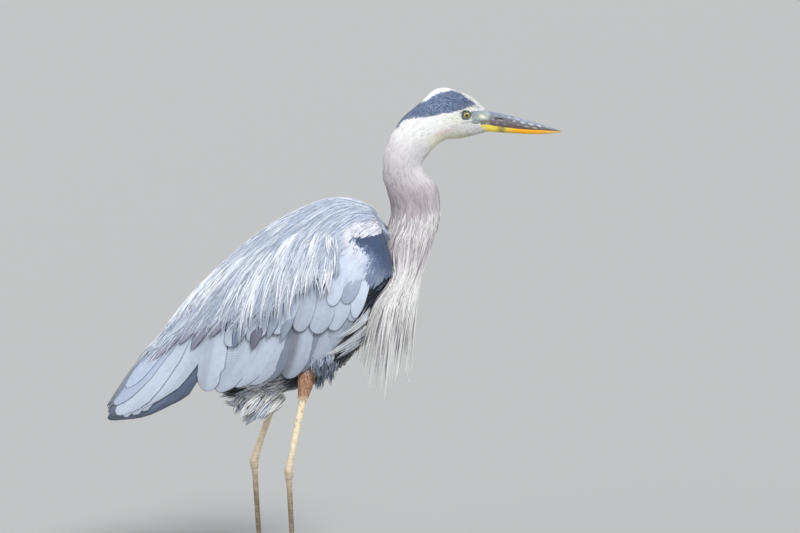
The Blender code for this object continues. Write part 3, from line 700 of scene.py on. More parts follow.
# loose tufts whose strands gather to a point
def tufts(surface, a, b, heading, length, strands, spread, half, tint, ranges):
    point, _, _, normal = frameAt(surface, a, b)
    each = np.repeat(np.arange(len(a)), strands)
    scatter = chance.normal(0, 1, (len(each), 3))
    first = point[each] - normal[each] * 0.002 + scatter * spread
    reach = (length[each] * chance.uniform(0.7, 1.0, len(each)))[:, None]
    middle = first + heading[each] * reach * 0.5 + normal[each] * reach * 0.10
    last = point[each] + heading[each] * reach + scatter * spread * 0.35
    line = bend(first, middle, last, vanes["plume"]["stations"])
    normals = np.broadcast_to(normal[each][:, None], line.shape)
    look = dict(half=half * chance.uniform(0.7, 1.3, len(each)), root=0.0, tip=0.0, thick=0.0004, roll=0.4)
    places, turns = (np.broadcast_to(value[each][:, None], line.shape[:2]) for value in (a, b))
    path = (line, normals, places, turns)
    return layVanes(vanes["plume"], surface, path, look, tint(each), patchOn(a[each], b[each], *ranges))


# colours of the plumage

shade = {
    "white": (0.765, 0.765, 0.755),
    "cream": (0.80, 0.79, 0.62),
    "stripe": (0.062, 0.090, 0.168),
    "stripePale": (0.245, 0.295, 0.410),
    "neckPink": (0.520, 0.490, 0.508),
    "neckMauve": (0.300, 0.258, 0.285),
    "slate": (0.082, 0.105, 0.155),
    "darkSlate": (0.030, 0.036, 0.050),
    "blueGrey": (0.27, 0.315, 0.40),
    "mantle": (0.325, 0.372, 0.468),
    "paleBlue": (0.45, 0.505, 0.60),
    "purpleGrey": (0.205, 0.210, 0.275),
    "plume": (0.80, 0.82, 0.85),
    "rust": (0.355, 0.178, 0.112),
    "legFlesh": (0.80, 0.68, 0.50),
    "legDark": (0.15, 0.12, 0.085),
    "blush": (0.60, 0.38, 0.32),
    "throat": (0.72, 0.72, 0.42),
    "brow": (0.72, 0.73, 0.66),
    "lorePale": (0.36, 0.40, 0.36),
    "loreDark": (0.16, 0.20, 0.225),
    "loreBlue": (0.20, 0.26, 0.36),
    "loreCream": (0.80, 0.78, 0.58),
    "loreLine": (0.13, 0.17, 0.23),
    "loreBrown": (0.13, 0.085, 0.060),
    "bareFace": (0.50, 0.54, 0.53),
    # lid: dark lid skin, partly painted shade of the lids
    "lid": (0.045, 0.050, 0.052),
    "chin": (0.72, 0.60, 0.11),
    "gape": (0.08, 0.05, 0.045),
    "legBlotch": (0.26, 0.19, 0.13),
    "flankStreak": (0.66, 0.69, 0.72),
    "flankFluff": (0.66, 0.69, 0.73),
    "shoulderPale": (0.66, 0.64, 0.68),
    "shoulderBlue": (0.110, 0.155, 0.270),
    "shoulderDark": (0.046, 0.068, 0.130),
    "mantleHem": (0.70, 0.68, 0.70),
    "ventWhite": (0.76, 0.76, 0.74),
}
shade = {name: np.array(value) for name, value in shade.items()}

# lower and upper edge of the dark stripe over the eye: x, z
stripeLower = np.array([
    (0.092, 0.678), (0.099, 0.688), (0.111, 0.701), (0.128, 0.708), (0.157, 0.711),
    (0.179, 0.7125), (0.190, 0.7150), (0.201, 0.7185), (0.212, 0.7160), (0.222, 0.7140),
])
stripeUpper = np.array([
    (0.092, 0.80), (0.134, 0.80), (0.139, 0.7285), (0.153, 0.7365), (0.165, 0.7385), (0.179, 0.7375),
    (0.190, 0.7335), (0.201, 0.7272), (0.206, 0.7238), (0.211, 0.7196), (0.216, 0.7160), (0.222, 0.7120),
])


def onStripe(point):
    x, _, z = axes(point)
    low = np.interp(x, *stripeLower.T)
    high = np.interp(x, *stripeUpper.T)
    inside = ease(z - low, -0.0008, 0.0012) * ease(high - z, -0.0012, 0.0012)
    return inside * ease(x, 0.090, 0.100) * (1 - ease(x, 0.214, 0.2225))


def headShade(point, fleck=0.35):  # fleck: how pale each streak of the dark stripe is
    x, _, z = axes(point)
    down = ease(0.690 - z + 0.35 * (0.150 - x), 0.0, 0.06)
    # painted light: the cheek is made 6% brighter to make up for the lamps lighting it less
    cheek = ease(0.707 - z, 0, 0.006) * ease(x, 0.145, 0.165)
    colour = blend(shade["white"] * 0.95, shade["neckPink"], 0.9 * down) * (1 + 0.06 * cheek)[..., None]
    colour = blend(colour, shade["neckMauve"], 0.30 * np.clip(ripple(point, 0.030), 0, 1) * down)
    # painted shadow: a soft blue-grey patch on the front of the neck, under the throat, where the head shades
    # it
    colour = blend(colour, shade["paleBlue"] * 0.72, 0.55 * onMark("throatShadow", x, z))
    throat = ease(0.684 - z, -0.004, 0.006) * ease(x, 0.135, 0.160) * (1 - ease(x, 0.195, 0.215))
    colour = blend(colour, shade["throat"], 0.55 * throat)
    colour = blend(colour, shade["blush"], 0.85 * onMark("blush", x, z) * (0.6 + 0.4 * ripple(point, 0.008)))
    colour = blend(colour, shade["cream"], 0.55 * onMark("cheekCream", x, z))
    streak = onLine("underEye", x, z) * ease(x, 0.182, 0.198)
    colour = blend(colour, shade["stripePale"] * 0.8, 0.6 * streak)
    dark = blend(shade["stripe"], shade["stripePale"], fleck * (0.35 + 0.65 * ease(x, 0.110, 0.160)))
    colour = blend(colour, dark, onStripe(point))
    brow = onLine("brow", x, z) * ease(x, 0.184, 0.200) * ease(x, 0.19, 0.20)
    return blend(colour, shade["brow"], 0.8 * brow)


def headFeatherShade(point):
    return headShade(point, 0.75 * chance.random(len(point)) ** 1.6)


def neckShade(point):
    x, y, z = axes(point)
    band = near(z - 0.600, 0.024)  # darker where the neck bends
    front = ease(x - 0.115 - 0.3 * (0.60 - z), -0.01, 0.03)
    patchy = 0.22 + 0.68 * band + 0.16 * ripple(point, 0.045) + 0.10 * ripple(point, 0.012, 2.0)
    colour = blend(shade["neckPink"], shade["neckMauve"], np.clip(patchy, 0, 1))
    colour = blend(colour, shade["white"], 0.5 * front * (1 - 0.8 * band))
    lines = near(np.abs(y) - 0.0032 - 0.0012 * np.sin(90 * z), 0.0011) * ease(x, 0.105, 0.125)
    dashes = ease(np.sin(420 * z + 300 * y + 2 * np.sin(150 * z)), 0.0, 0.7)
    colour = blend(colour, shade["slate"], 0.75 * lines * dashes * (1 - ease(z, 0.645, 0.662)))
    return blend(headShade(point), colour, 1 - ease(z, 0.630, 0.665))


def loreShade(point):  # bare skin between eye and bill, and the first of the bill
    x, _, z = axes(point)
    colour = blend(shade["lorePale"], shade["loreDark"], 0.5 + 0.5 * ripple(point, 0.0055))
    colour = blend(colour, shade["loreBlue"], 0.5 * ease(z, 0.7085, 0.7130))
    colour = blend(colour, shade["loreCream"], 0.9 * onMark("loreCream", x, z))
    colour = blend(colour, shade["loreLine"], 0.75 * onLine("lore", x, z) * ease(x, 0.195, 0.205))
    return blend(colour, shade["loreBrown"], 0.8 * onLine("aboveGape", x, z) * ease(x, 0.209, 0.217))


def skinShade(point):  # the skin carries the same markings under its feathers
    x, y, z = axes(point)
    # 0.85: the skin is a little darker than the plumage over it, painted shade under the feathers
    colour = 0.85 * neckShade(point)
    away = fromEye(x, z)
    bare = (1 - ease(away, 0.0070, 0.0095)) * (x > 0.17) * (z > 0.69)
    lore = ease(x, 0.199, 0.206) * ease(z, 0.6936, 0.6948) * (1 - ease(z, 0.7125, 0.7155))
    face = blend(shade["bareFace"], loreShade(point), ease(x, 0.195, 0.204))
    # dark ring round the eye: partly the lids' own dark skin, partly painted shade cast by the lids
    ring = 1 - ease(away, eye["lidUp"] + 0.0008, eye["lidUp"] + 0.0017)
    face = blend(face, shade["lid"], 0.88 * ring)
    colour = blend(colour, face, np.clip(bare + lore, 0, 1))
    chin = ease(x, 0.2140, 0.2175) * (1 - ease(z, 0.6934, 0.6942)) * ease(z, 0.60, 0.61)
    colour = blend(colour, shade["chin"], chin)
    # dark line along the gape: partly the gape's own dark skin, partly painted shade in its crease
    gape = near(z - gapeHeight(x), 0.0008) * ease(x, 0.200, 0.212)
    colour = blend(colour, shade["gape"], 0.8 * gape)
    body = ease(0.52 - z, 0, 0.02) * (1 - ease(x, 0.06, 0.10))
    colour = blend(colour, 0.8 * shade["blueGrey"], body)
    belly = body * ease(0.36 - z, 0, 0.05) * ease(x, -0.25, -0.05)
    colour = blend(colour, shade["darkSlate"], 0.8 * belly)
    leg = (1 - ease(z, 0.300, 0.312)) * (np.abs(y) > 0.026)
    scute = 0.5 + 0.5 * np.sin(z * 1250)
    darkness = 0.9 * (1 - ease(z, 0.12, 0.25)) + 0.10 * scute + 0.14 * ripple(point, 0.011)
    flesh = blend(shade["legFlesh"], shade["legDark"], np.clip(darkness, 0, 1))
    blotch = ease(ripple(point, 0.0075, 0.9), 0.15, 0.6) * ease(z, 0.24, 0.26)
    flesh = blend(flesh, shade["legBlotch"], 0.6 * blotch)
    return blend(colour, flesh, leg)


def newMaterial(name, roughness, specular=0.4, sheen=0.0, coat=0.0):
    made = bpy.data.materials.new(name)
    made.use_nodes = True
    shader = made.node_tree.nodes["Principled BSDF"]
    values = {
        "Roughness": roughness,
        "Specular IOR Level": specular,
        "Sheen Weight": sheen,
        "Sheen Roughness": 0.4,
        "Coat Weight": coat,
        "Coat Roughness": 0.04,
    }
    for socket, value in values.items():
        shader.inputs[socket].default_value = value
    return made, made.node_tree.nodes, made.node_tree.links, shader


def mathNode(nodes, links, operation, *values):
    node = nodes.new("ShaderNodeMath")
    node.operation = operation
    for socket, value in zip(node.inputs, values):
        if isinstance(value, (int, float)):
            socket.default_value = value
        else:
            links.new(value, socket)
    return node.outputs[0]


def scaledColour(nodes, links, shader, colour, level):
    scaled = nodes.new("ShaderNodeVectorMath")
    scaled.operation = "SCALE"
    links.new(colour, scaled.inputs[0])
    links.new(level, scaled.inputs["Scale"])
    links.new(scaled.outputs[0], shader.inputs["Base Color"])
    return scaled.outputs[0]


def addBump(nodes, links, shader, height, strength, distance):
    bump = nodes.new("ShaderNodeBump")
    bump.inputs["Strength"].default_value = strength
    bump.inputs["Distance"].default_value = distance
    links.new(height, bump.inputs["Height"])
    links.new(bump.outputs["Normal"], shader.inputs["Normal"])


def tintNode(nodes):
    tint = nodes.new("ShaderNodeAttribute")
    tint.attribute_name = "tint"
    return tint.outputs["Color"]


def tintedColour(nodes, links, shader, detail, depth):  # the tint, broken up by a fine noise
    tint = tintNode(nodes)
    place = nodes.new("ShaderNodeTexCoord")
    noise = nodes.new("ShaderNodeTexNoise")
    noise.inputs["Scale"].default_value = detail
    noise.inputs["Detail"].default_value = 4
    links.new(place.outputs["Object"], noise.inputs["Vector"])
    level = mathNode(nodes, links, "MULTIPLY_ADD", noise.outputs["Fac"], depth, 1 - depth / 2)
    return scaledColour(nodes, links, shader, tint, level), noise.outputs["Fac"]


def featherMaterial(name, barbs, strength, roughness=0.7):  # a shaft down the middle and slanting barbs
    made, nodes, links, shader = newMaterial(name, roughness, 0.25, 0.12)
    colour, _ = tintedColour(nodes, links, shader, 160, 0.24)
    where = nodes.new("ShaderNodeUVMap")
    where.uv_map = "vane"
    split = nodes.new("ShaderNodeSeparateXYZ")
    links.new(where.outputs["UV"], split.inputs[0])
    off = mathNode(nodes, links, "ABSOLUTE", mathNode(nodes, links, "SUBTRACT", split.outputs["X"], 0.5))
    slant = mathNode(nodes, links, "MULTIPLY_ADD", off, -0.35, split.outputs["Y"])
    barb = mathNode(nodes, links, "SINE", mathNode(nodes, links, "MULTIPLY", slant, barbs))
    shaft = mathNode(nodes, links, "LESS_THAN", off, 0.03)
    ridge = mathNode(nodes, links, "MULTIPLY_ADD", shaft, 1.5, barb)
    addBump(nodes, links, shader, ridge, strength, 0.0004)
    scaledColour(nodes, links, shader, colour, mathNode(nodes, links, "MULTIPLY_ADD", ridge, 0.035, 1.0))
    return made


def skinMaterial(name, roughness, grain, depth, bumpiness):
    made, nodes, links, shader = newMaterial(name, roughness, 0.45)
    _, noise = tintedColour(nodes, links, shader, grain, depth)
    addBump(nodes, links, shader, noise, bumpiness, 0.0005)
    return made


skinLook = skinMaterial("bareSkin", 0.55, 900, 0.25, 0.4)
hornLook = skinMaterial("billHorn", 0.52, 420, 0.35, 0.3)
clawLook = skinMaterial("clawHorn", 0.35, 500, 0.20, 0.2)
softLook = featherMaterial("softPlumage", 90, 0.15, 0.78)
vaneLook = featherMaterial("vanedPlumage", 240, 0.35, 0.62)
plumeLook = featherMaterial("longPlumes", 160, 0.2, 0.6)

print("skin")
skin = makeSkin(skinLook)
addTint(skin.data, skinShade(spotsOf(skin.data)))
skin.data.shade_smooth()
finishPiece(
    skin, "leg_skin", "head", "neck_upper", "neck_middle", "neck_lower", "trunk",
    "thigh_right", "thigh_left", "shank_right", "shank_left",
    "tarsus_right", "tarsus_left", "foot_right", "foot_left",
    *[f"toe_{toe}_{side}" for toe in toes for side in ("right", "left")],
)

# bill: x, ridge height, mouth line, keel height, half width
billRows = np.array([
    (0.2190, 0.7135, 0.6945, 0.6818, 0.0088),
    (0.2243, 0.7127, 0.6940, 0.6823, 0.0090),
    (0.2480, 0.7080, 0.6900, 0.6808, 0.0070),
    (0.2780, 0.7000, 0.6866, 0.6790, 0.0053),
    (0.3080, 0.6913, 0.6847, 0.6787, 0.0035),
    (0.3300, 0.6840, 0.6831, 0.6810, 0.0010),
])
bill = {
    "gap": 0.00035,  # the dark line between the two halves
    "ridgeSharp": 1.25,
    "nostril": (0.2420, 0.7012, 0.0070, 0.0012),  # x, z, half length, half height
    "nostrilDeep": 0.0016,
    "groove": 0.0007,  # furrow that runs forward from the nostril
    "grooveSlope": -0.235,
    "grooveWide": 0.0011,
    "lowerShare": 0.955,  # the lower half is this much narrower
    "tipReach": (0.0030, 0.0018),  # how far each half's tip is drawn out
    "base": 0.224,
    "long": 0.109,
}
billColour = {
    "upperDark": (0.085, 0.083, 0.090),
    "upperSlate": (0.135, 0.148, 0.180),
    "paleSpotAndSheen": (0.60, 0.60, 0.62),
    "ridge": (0.17, 0.23, 0.34),
    "darkStreak": (0.060, 0.050, 0.055),
    "mouthEdge": (0.085, 0.055, 0.050),
    "nostril": (0.02, 0.016, 0.016),
    "upperTip": (0.42, 0.33, 0.16),
    "yellow": (0.80, 0.64, 0.085),
    "orange": (0.88, 0.42, 0.012),
    "ochre": (0.74, 0.44, 0.12),
    "smudge": (0.12, 0.08, 0.05),
    "orangeStreak": (0.45, 0.22, 0.05),
    "lowerTip": (0.30, 0.20, 0.08),
}


def inNostril(x, z, inner, outer):
    noseX, noseZ, noseLong, noseHigh = bill["nostril"]
    return 1 - ease(np.hypot((x - noseX) / noseLong, (z - noseZ) / noseHigh), inner, outer)


def pointed(x, y, z, centre, v, reach):  # rounds off the last of the bill
    taper = np.where(v > 0.985, np.sqrt(np.clip((1 - v) / 0.015, 0, 1)), 1)
    return np.stack([x + reach * ease(v, 0.97, 1), y * taper, centre + (z - centre) * taper], -1)


def upperBill(u, v):
    x, ridge, mouth, _, half = axes(smooth(billRows, 5 * v))
    angle = 2 * math.pi * u - math.pi / 2
    top = np.sin(angle) > 0
    rise = np.abs(np.sin(angle))
    y = half * np.sign(np.cos(angle)) * np.abs(np.cos(angle)) ** np.where(top, 0.95, 0.7)
    z = np.where(top, mouth + (ridge - mouth) * rise ** bill["ridgeSharp"], mouth)
    line = bill["nostril"][1] + bill["grooveSlope"] * (x - bill["nostril"][0])
    furrow = near(z - line, bill["grooveWide"]) * ease(x, 0.236, 0.246) * (1 - ease(x, 0.285, 0.318))
    y = y - np.sign(y) * (bill["nostrilDeep"] * inNostril(x, z, 0.55, 1.15) + bill["groove"] * furrow)
    return pointed(x, y, z, (ridge + mouth) / 2, v, bill["tipReach"][0])


def lowerBill(u, v):
    x, _, mouth, keel, half = axes(smooth(billRows, 5 * v))
    half = half * bill["lowerShare"]
    mouth = mouth - bill["gap"]
    angle = 2 * math.pi * u - math.pi / 2
    low = np.sin(angle) < 0
    drop = np.abs(np.sin(angle))
    y = half * np.sign(np.cos(angle)) * np.abs(np.cos(angle)) ** np.where(low, 0.75, 0.7)
    z = np.where(low, mouth - (mouth - keel) * drop**1.1, mouth)
    return pointed(x, y, z, (keel + mouth) / 2, v, bill["tipReach"][1])


def closeEnds(bm):
    bmesh.ops.holes_fill(bm, edges=bm.edges, sides=0)
    bmesh.ops.recalc_face_normals(bm, faces=bm.faces)
    return bm


def upperShade(point):
    x, _, z = axes(point)
    forward = (x - bill["base"]) / bill["long"]
    rows = smooth(billRows, np.interp(x, billRows[:, 0], range(6)))
    height = np.clip((z - rows[:, 2]) / np.maximum(rows[:, 1] - rows[:, 2], 1e-4), 0, 1)
    colour = blend(billColour["upperDark"], billColour["upperSlate"], ease(height, 0.35, 0.8))
    # pale blotches along the middle of the upper bill: partly the horn's own pale mottling, partly painted
    # sheen
    pale = ease(ripple(point * np.array((0.30, 1, 1.1)), 0.0048, 0.7), -0.05, 0.55)
    pale = pale * ease(forward, 0.0, 0.12) * (1 - ease(forward, 0.75, 0.95))
    colour = blend(colour, billColour["paleSpotAndSheen"], 0.50 * pale)
    colour = blend(colour, billColour["ridge"], 0.7 * ease(height, 0.80, 0.97))
    streak = ease(ripple(point * np.array((0.30, 1, 1.2)), 0.0042), 0.05, 0.6)
    streak = streak * ease(forward, 0.0, 0.15) * (1 - 0.6 * ease(forward, 0.5, 0.8))
    colour = blend(colour, billColour["darkStreak"], 0.70 * streak)
    dark = 1 - ease(height + 0.10 * ripple(point, 0.006), 0.16, 0.44 - 0.06 * forward)
    colour = blend(colour, billColour["mouthEdge"], 0.88 * dark)
    colour = blend(loreShade(point), colour, ease(forward, 0.0, 0.07))
    # painted shade: the nostril slit is filled near black for the shade inside it
    colour = blend(colour, billColour["nostril"], inNostril(x, z, 0.5, 1.1))
    return blend(colour, billColour["upperTip"], 0.6 * ease(forward, 0.93, 1.0))


def lowerShade(point):
    forward = (point[:, 0] - bill["base"]) / bill["long"]
    colour = blend(billColour["yellow"], billColour["orange"], ease(forward, 0.22, 0.42))
    colour = blend(colour, billColour["ochre"], ease(forward, 0.62, 0.9))
    smudge = near(forward - 0.20, 0.060) * (0.75 + 0.25 * ripple(point, 0.004))
    colour = blend(colour, billColour["smudge"], 0.92 * smudge)
    streak = np.clip(ripple(point * np.array((0.4, 1, 1)), 0.007, 1.0), 0, 1)
    colour = blend(colour, billColour["orangeStreak"], 0.25 * streak)
    return blend(colour, billColour["lowerTip"], 0.45 * ease(forward, 0.95, 1.0))


print("bill")
for name, shape, shadeOf in (("bill_upper", upperBill, upperShade), ("bill_lower", lowerBill, lowerShade)):
    half = makeObject(name.replace("bill_", "") + "Bill", closeEnds(wrap(72, 180, shape)), hornLook, 60)
    addTint(half.data, shadeOf(spotsOf(half.data)))
    finishPiece(half, name + "_horn", name)

print("eyes")


def eyeMaterial():
    made, nodes, links, shader = newMaterial("wetEye", 0.12, 0.5, 0, 1.0)
    links.new(tintNode(nodes), shader.inputs["Base Color"])
    return made


eyeColour = {
    "pupil": (0.004, 0.004, 0.005),
    "inner": (0.28, 0.22, 0.030),
    "outer": (0.38, 0.32, 0.055),
    "rays": (0.16, 0.13, 0.03),
    "shadow": (0.10, 0.09, 0.03),
    "rim": (0.012, 0.010, 0.009),
}


def eyeShade(point):
    x, _, z = axes(point)
    ahead, up = x - eyeCentre.x, z - eyeCentre.z
    out = np.hypot(ahead - 0.0003, up)
    rays = 0.5 + 0.5 * np.sin(28 * np.arctan2(up, ahead) + 2.0 * np.sin(9 * np.arctan2(ahead, up)))
    iris = blend(eyeColour["inner"], eyeColour["outer"], ease(out, eye["pupil"], 0.0036))
    iris = blend(iris, eyeColour["rays"], 0.30 * rays)
    iris = blend(iris, eyeColour["shadow"], ease(out, 0.0039, 0.0050))
    colour = blend(eyeColour["pupil"], iris, ease(out, eye["pupil"] - 0.0001, eye["pupil"] + 0.0002))
    return blend(colour, eyeColour["rim"], ease(out, eye["iris"] - 0.0010, eye["iris"] - 0.0003))


eyeLook = eyeMaterial()
for side, name in ((1, "eye_left"), (-1, "eye_right")):
    low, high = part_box(name)
    middle = (low + high) / 2
    bm = bmesh.new()
    bmesh.ops.create_uvsphere(bm, u_segments=64, v_segments=48, radius=eyeRadius)
    bmesh.ops.rotate(bm, verts=bm.verts, cent=(0, 0, 0), matrix=Matrix.Rotation(math.pi / 2, 3, "X"))
    bulge, wide = eye["bulge"]
    for vert in bm.verts:
        out = math.hypot(vert.co.x, vert.co.z)
        if vert.co.y * side > 0:
            vert.co.y += side * bulge * max(0.0, 1 - (out / wide) ** 2)
    bmesh.ops.translate(bm, verts=bm.verts, vec=(middle.x, middle.y, middle.z))
    ball = makeObject(name.replace("eye_", "") + "Eye", bm, eyeLook, 180)
    addTint(ball.data, eyeShade(spotsOf(ball.data)))
    finishPiece(ball, "eye", name)

print("claws")
clawColour = ((0.075, 0.060, 0.050), (0.025, 0.020, 0.018))  # at the root, at the tip
for side in ("right", "left"):
    spec = legs[side]
    foot = legPoints(spec)[3]
    for toe, (length, bearing) in toes.items():
        ahead = toeHeading(spec, bearing)
        root = foot + ahead * (length - 0.004)
        path, radii = [], []
        for share in np.linspace(0, 1, 8):
            radius = footLook["clawRadius"] * ((1 - share) ** 0.7 * 0.875 + 0.125)
            drop = 0.0024 * (1 - 0.917 * share**2)
            path.append(root + ahead * (footLook["claw"] * share) + np.array((0, 0, drop + radius * 0.45)))
            radii.append(radius)
        shaped = tube(path, radii, 14, 20, flatten=0.85, floor=True)
        claw = makeObject("claw" + toe.title() + side.title(), shaped, clawLook)
        spots = spotsOf(claw.data)
        out = np.linalg.norm(spots - root, axis=1) / footLook["claw"]
        addTint(claw.data, blend(*clawColour, ease(out, 0.1, 0.9)))
        finishPiece(claw, "claw_horn", f"claw_{toe}_{side}")

print("head feathers")


def onFace(point, a, b):  # everywhere but on the bare skin round the eye and at the bill
    x, _, z = axes(point)
    ring = fromEye(x, z, 1.2) < 0.0072
    lore = (x > 0.2035) & (z > 0.6955) & (z < 0.7130)
    chin = (x > 0.2165) & (z < 0.6956) & (z > 0.6880 + 0.3 * (x - 0.2165))
    return ~(ring | lore | chin)


def layAll(vane, surface, a, b, length, look, tint, lie, ranges):
    path = walk(surface, lie, a, b, length, vane["stations"])
    return layVanes(vane, surface, path, look, tint, patchOn(a, b, *ranges))


face = {
    "rows": (0.10, 5.2),  # from the bill to behind the crown
    "turns": allRound,
    "rowGap": 0.0017,
    "gap": 0.00105,
    "length": (0.0030, 0.0030, 0.0050),  # at the bill, more behind it, and more on the crown
    "half": (0.00055, 0.0006),  # at the bill, and more towards the neck
    "thick": 0.00016,
}
a, b = sow(neckSurface, face, onFace)
top = 1 - ease(np.minimum(b, 2 * math.pi - b), 0.5, 1.6)
first, behind, crown = face["length"]
length = first + behind * ease(a, 0.5, 3.5) + crown * top * ease(a, 1.0, 3.0)
settled = ease(a, 2.0, 4.2)
look = dict(
    half=face["half"][0] + face["half"][1] * settled, root=-coatDepth(a, b) - 0.0002,
    tip=0.0001 + (0.0006 - 0.0004 * settled) * chance.random(len(a)),
    thick=face["thick"], roll=0.07, riseEnd=0.4, cup=0.03,
)
length = length * chance.uniform(0.8, 1.2, len(a))
tint = shades(headFeatherShade, 0.92, 1.04, 0.07)
headCoat = layAll(vanes["scale"], neckSurface, a, b, length, look, tint, alongRows(0.12), neckRange)
joinCoat("headFeathers", [headCoat], softLook, "head_feathers")

print("neck feathers")
neck = {
    "bands": ((4.6, 9.4, 0.0026), (9.2, 12.7, 0.0030)),  # first and last row, gap between feathers
    "turns": allRound,
    "rowGap": 0.0042,
    "short": 0.011,
    "long": 0.028,
    "half": 0.0019,
    "hair": 0.0005,
    "paleStrands": 0.40,
    "darkStrands": 0.22,
}


def onNeck(point, a, b):  # the plumes of the breast cover the front of its foot
    return (np.cos(b) < 0.55) | (a < 11.2)


def neckStrandShade(point):  # some strands pale, some dark
    colour, pick = neckShade(point), chance.random(len(point))
    low = 1 - ease(point[:, 2], 0.535, 0.590)
    colour = blend(colour, shade["white"], 0.75 * (pick < neck["paleStrands"]) * (0.35 + 0.65 * low))
    return blend(colour, shade["neckMauve"], 0.6 * (pick > 1 - neck["darkStrands"]) * (0.35 + 0.65 * low))


neckCoat = []
for start, end, gap in neck["bands"]:
    a, b = sow(neckSurface, dict(neck, rows=(start, end), gap=gap), onNeck)
    length = neck["short"] + (neck["long"] - neck["short"]) * ease(a, 5, 10.5)
    look = dict(
        half=neck["half"] * (0.8 + 0.2 * ease(a, 5, 8)), root=-coatDepth(a, b) - 0.0003,
        tip=0.0001 + 0.0003 * chance.random(len(a)),
        thick=0.0002, roll=0.03, hug=True, riseEnd=0.25, ragged=0.05, cup=0.03,
    )
    tint = shades(neckShade, 1.0, 1.0, 0.025)
    length = length * chance.uniform(0.75, 1.25, len(a))
    neckCoat.append(layAll(vanes["leaf"], neckSurface, a, b, length, look, tint, alongRows(0.05), neckRange))
    hair = chance.random(len(a)) < 0.16 + 0.74 * ease(a, 8.0, 10.5)
    a, b, length = a[hair], b[hair], length[hair] * 1.2
    look = dict(
        half=neck["hair"], root=-coatDepth(a, b),
        tip=0.0006 + (0.0002 + 0.0010 * ease(a, 9, 11)) * chance.random(len(a)),
        thick=0.0003, roll=0.12, riseEnd=0.3,
    )
    tint = shades(neckStrandShade, 0.98, 1.0, 0.05)
    neckCoat.append(layAll(vanes["hair"], neckSurface, a, b, length, look, tint, alongRows(0.06), neckRange))
joinCoat("neckFeathers", neckCoat, softLook, "neck_feathers")


# for each row of the body, the shares of its depth where the wing begins and ends
wingEdges = np.array([
    (0.10, 0.50), (0.17, 0.57), (0.20, 0.745), (0.26, 0.80), (0.26, 0.84),
    (0.13, 0.90), (0.05, 0.96), (0.04, 0.97), (0.04, 0.97),
])


def topOf(place):
    return smooth(wingEdges, place)[..., 0]


def lowOf(place):
    return smooth(wingEdges, place)[..., 1]


def pathOn(surface, a, b):
    point, _, _, normal = frameAt(surface, a, b)
    return point, normal, a, b


def bowed(root, tip, bow, at):  # a bent line seen from the side
    root, tip = np.asarray(root, float), np.asarray(tip, float)
    if root.ndim == 2:
        root, tip = root[:, None], tip[:, None]
    at = np.asarray(at, float)[..., None]
    across = np.stack([-(tip - root)[..., 1], (tip - root)[..., 0]], -1)
    bow = np.asarray(bow, float).reshape(len(root), -1, 1)
    return root + (tip - root) * at + across * bow * 4 * at * (1 - at)


def onFlank(line, side):
    place, down = placeOf(line[..., 0], line[..., 1])
    return pathOn(bodySurface, place, turnAt(place, down) * side)


# each feather in its own colour, with a darker root as painted shade under the feathers over it, a darker
# shaft and a lighter rim
def tintBy(colours, root=0.8, rim=1.1, shaft=0.92, vary=0.05, tip=1.0, mottle=0.06):
    colours = np.asarray(colours, float)

    def tint(start, spots, share, across):
        tone = 1 + vary * chance.uniform(-1, 1, (len(start), 1)) + mottle * ripple(spots, 0.012)
        body = root + (1 - root) * ease(share, 0.0, 0.5) + (tip - 1) * ease(share, 0.75, 1.0)
        off = np.abs(across)
        edge = 1 + (rim - 1) * ease(off, 0.55, 0.95) - (1 - shaft) * (1 - ease(off, 0.02, 0.25))
        return colours[:, None, :] * (tone * body * edge)[..., None]

    return tint


print("belly and flanks")
belly = {
    "rows": (0.05, 5.6),
    "turns": (-math.pi, math.pi),
    "rowGap": 0.0058,
    "gap": 0.0042,
    "length": (0.018, 0.032),
    "half": 0.0017,
    "rear": -0.140,  # the vent's feathers follow behind this
}
flank = {
    "streaks": [  # root x, z, tip x, z, bow, strands: white feathers over the dark flank
        (0.064, 0.436, 0.010, 0.390, 0.05, 34),
        (0.074, 0.424, -0.011, 0.363, 0.08, 46),
        (0.058, 0.402, 0.004, 0.356, 0.05, 12),
    ],
    "streakWide": 0.0045,
    "streakHalf": 0.0009,
    "tufts": 34,
    "tuftStrands": 12,
    "tuftHeight": 0.364,
    "tuftLength": (0.018, 0.030),
    "paleLength": 0.62,  # the pale tufts are this much shorter than the dark ones
}


def bellyShade(point):
    x, y, z = axes(point)
    down = np.clip((0.56 - z) / 0.25, 0, 1)
    colour = blend(shade["blueGrey"], shade["darkSlate"], ease(down, 0.1, 0.5))
    middle = near(y, 0.014) * ease(0.44 - z, 0, 0.04)
    colour = blend(colour, shade["white"], 0.75 * middle * (0.6 + 0.4 * np.sin(260 * x + 900 * y)))
    hem = 0.363 + (x + 0.0094) * 0.845  # a pale line along the lowest streak
    line = near(z - hem, 0.0042) * ease(x, -0.016, 0.002) * ease(np.abs(y), 0.02, 0.035)
    colour = blend(colour, shade["flankStreak"], 0.7 * line)
    fluff = ease(x, -0.125, -0.105) * (1 - ease(x, -0.062, -0.046)) * ease(0.350 - z, 0.0, 0.010)
    colour = blend(colour, shade["flankFluff"], 0.85 * fluff)
    return blend(colour, shade["blueGrey"], 0.7 * ease(-x, 0.14, 0.20))


def onBelly(point, a, b):
    return (np.abs(b) > turnAt(a, np.clip(lowOf(a) - 0.16, 0, 1))) & (point[:, 0] > belly["rear"])


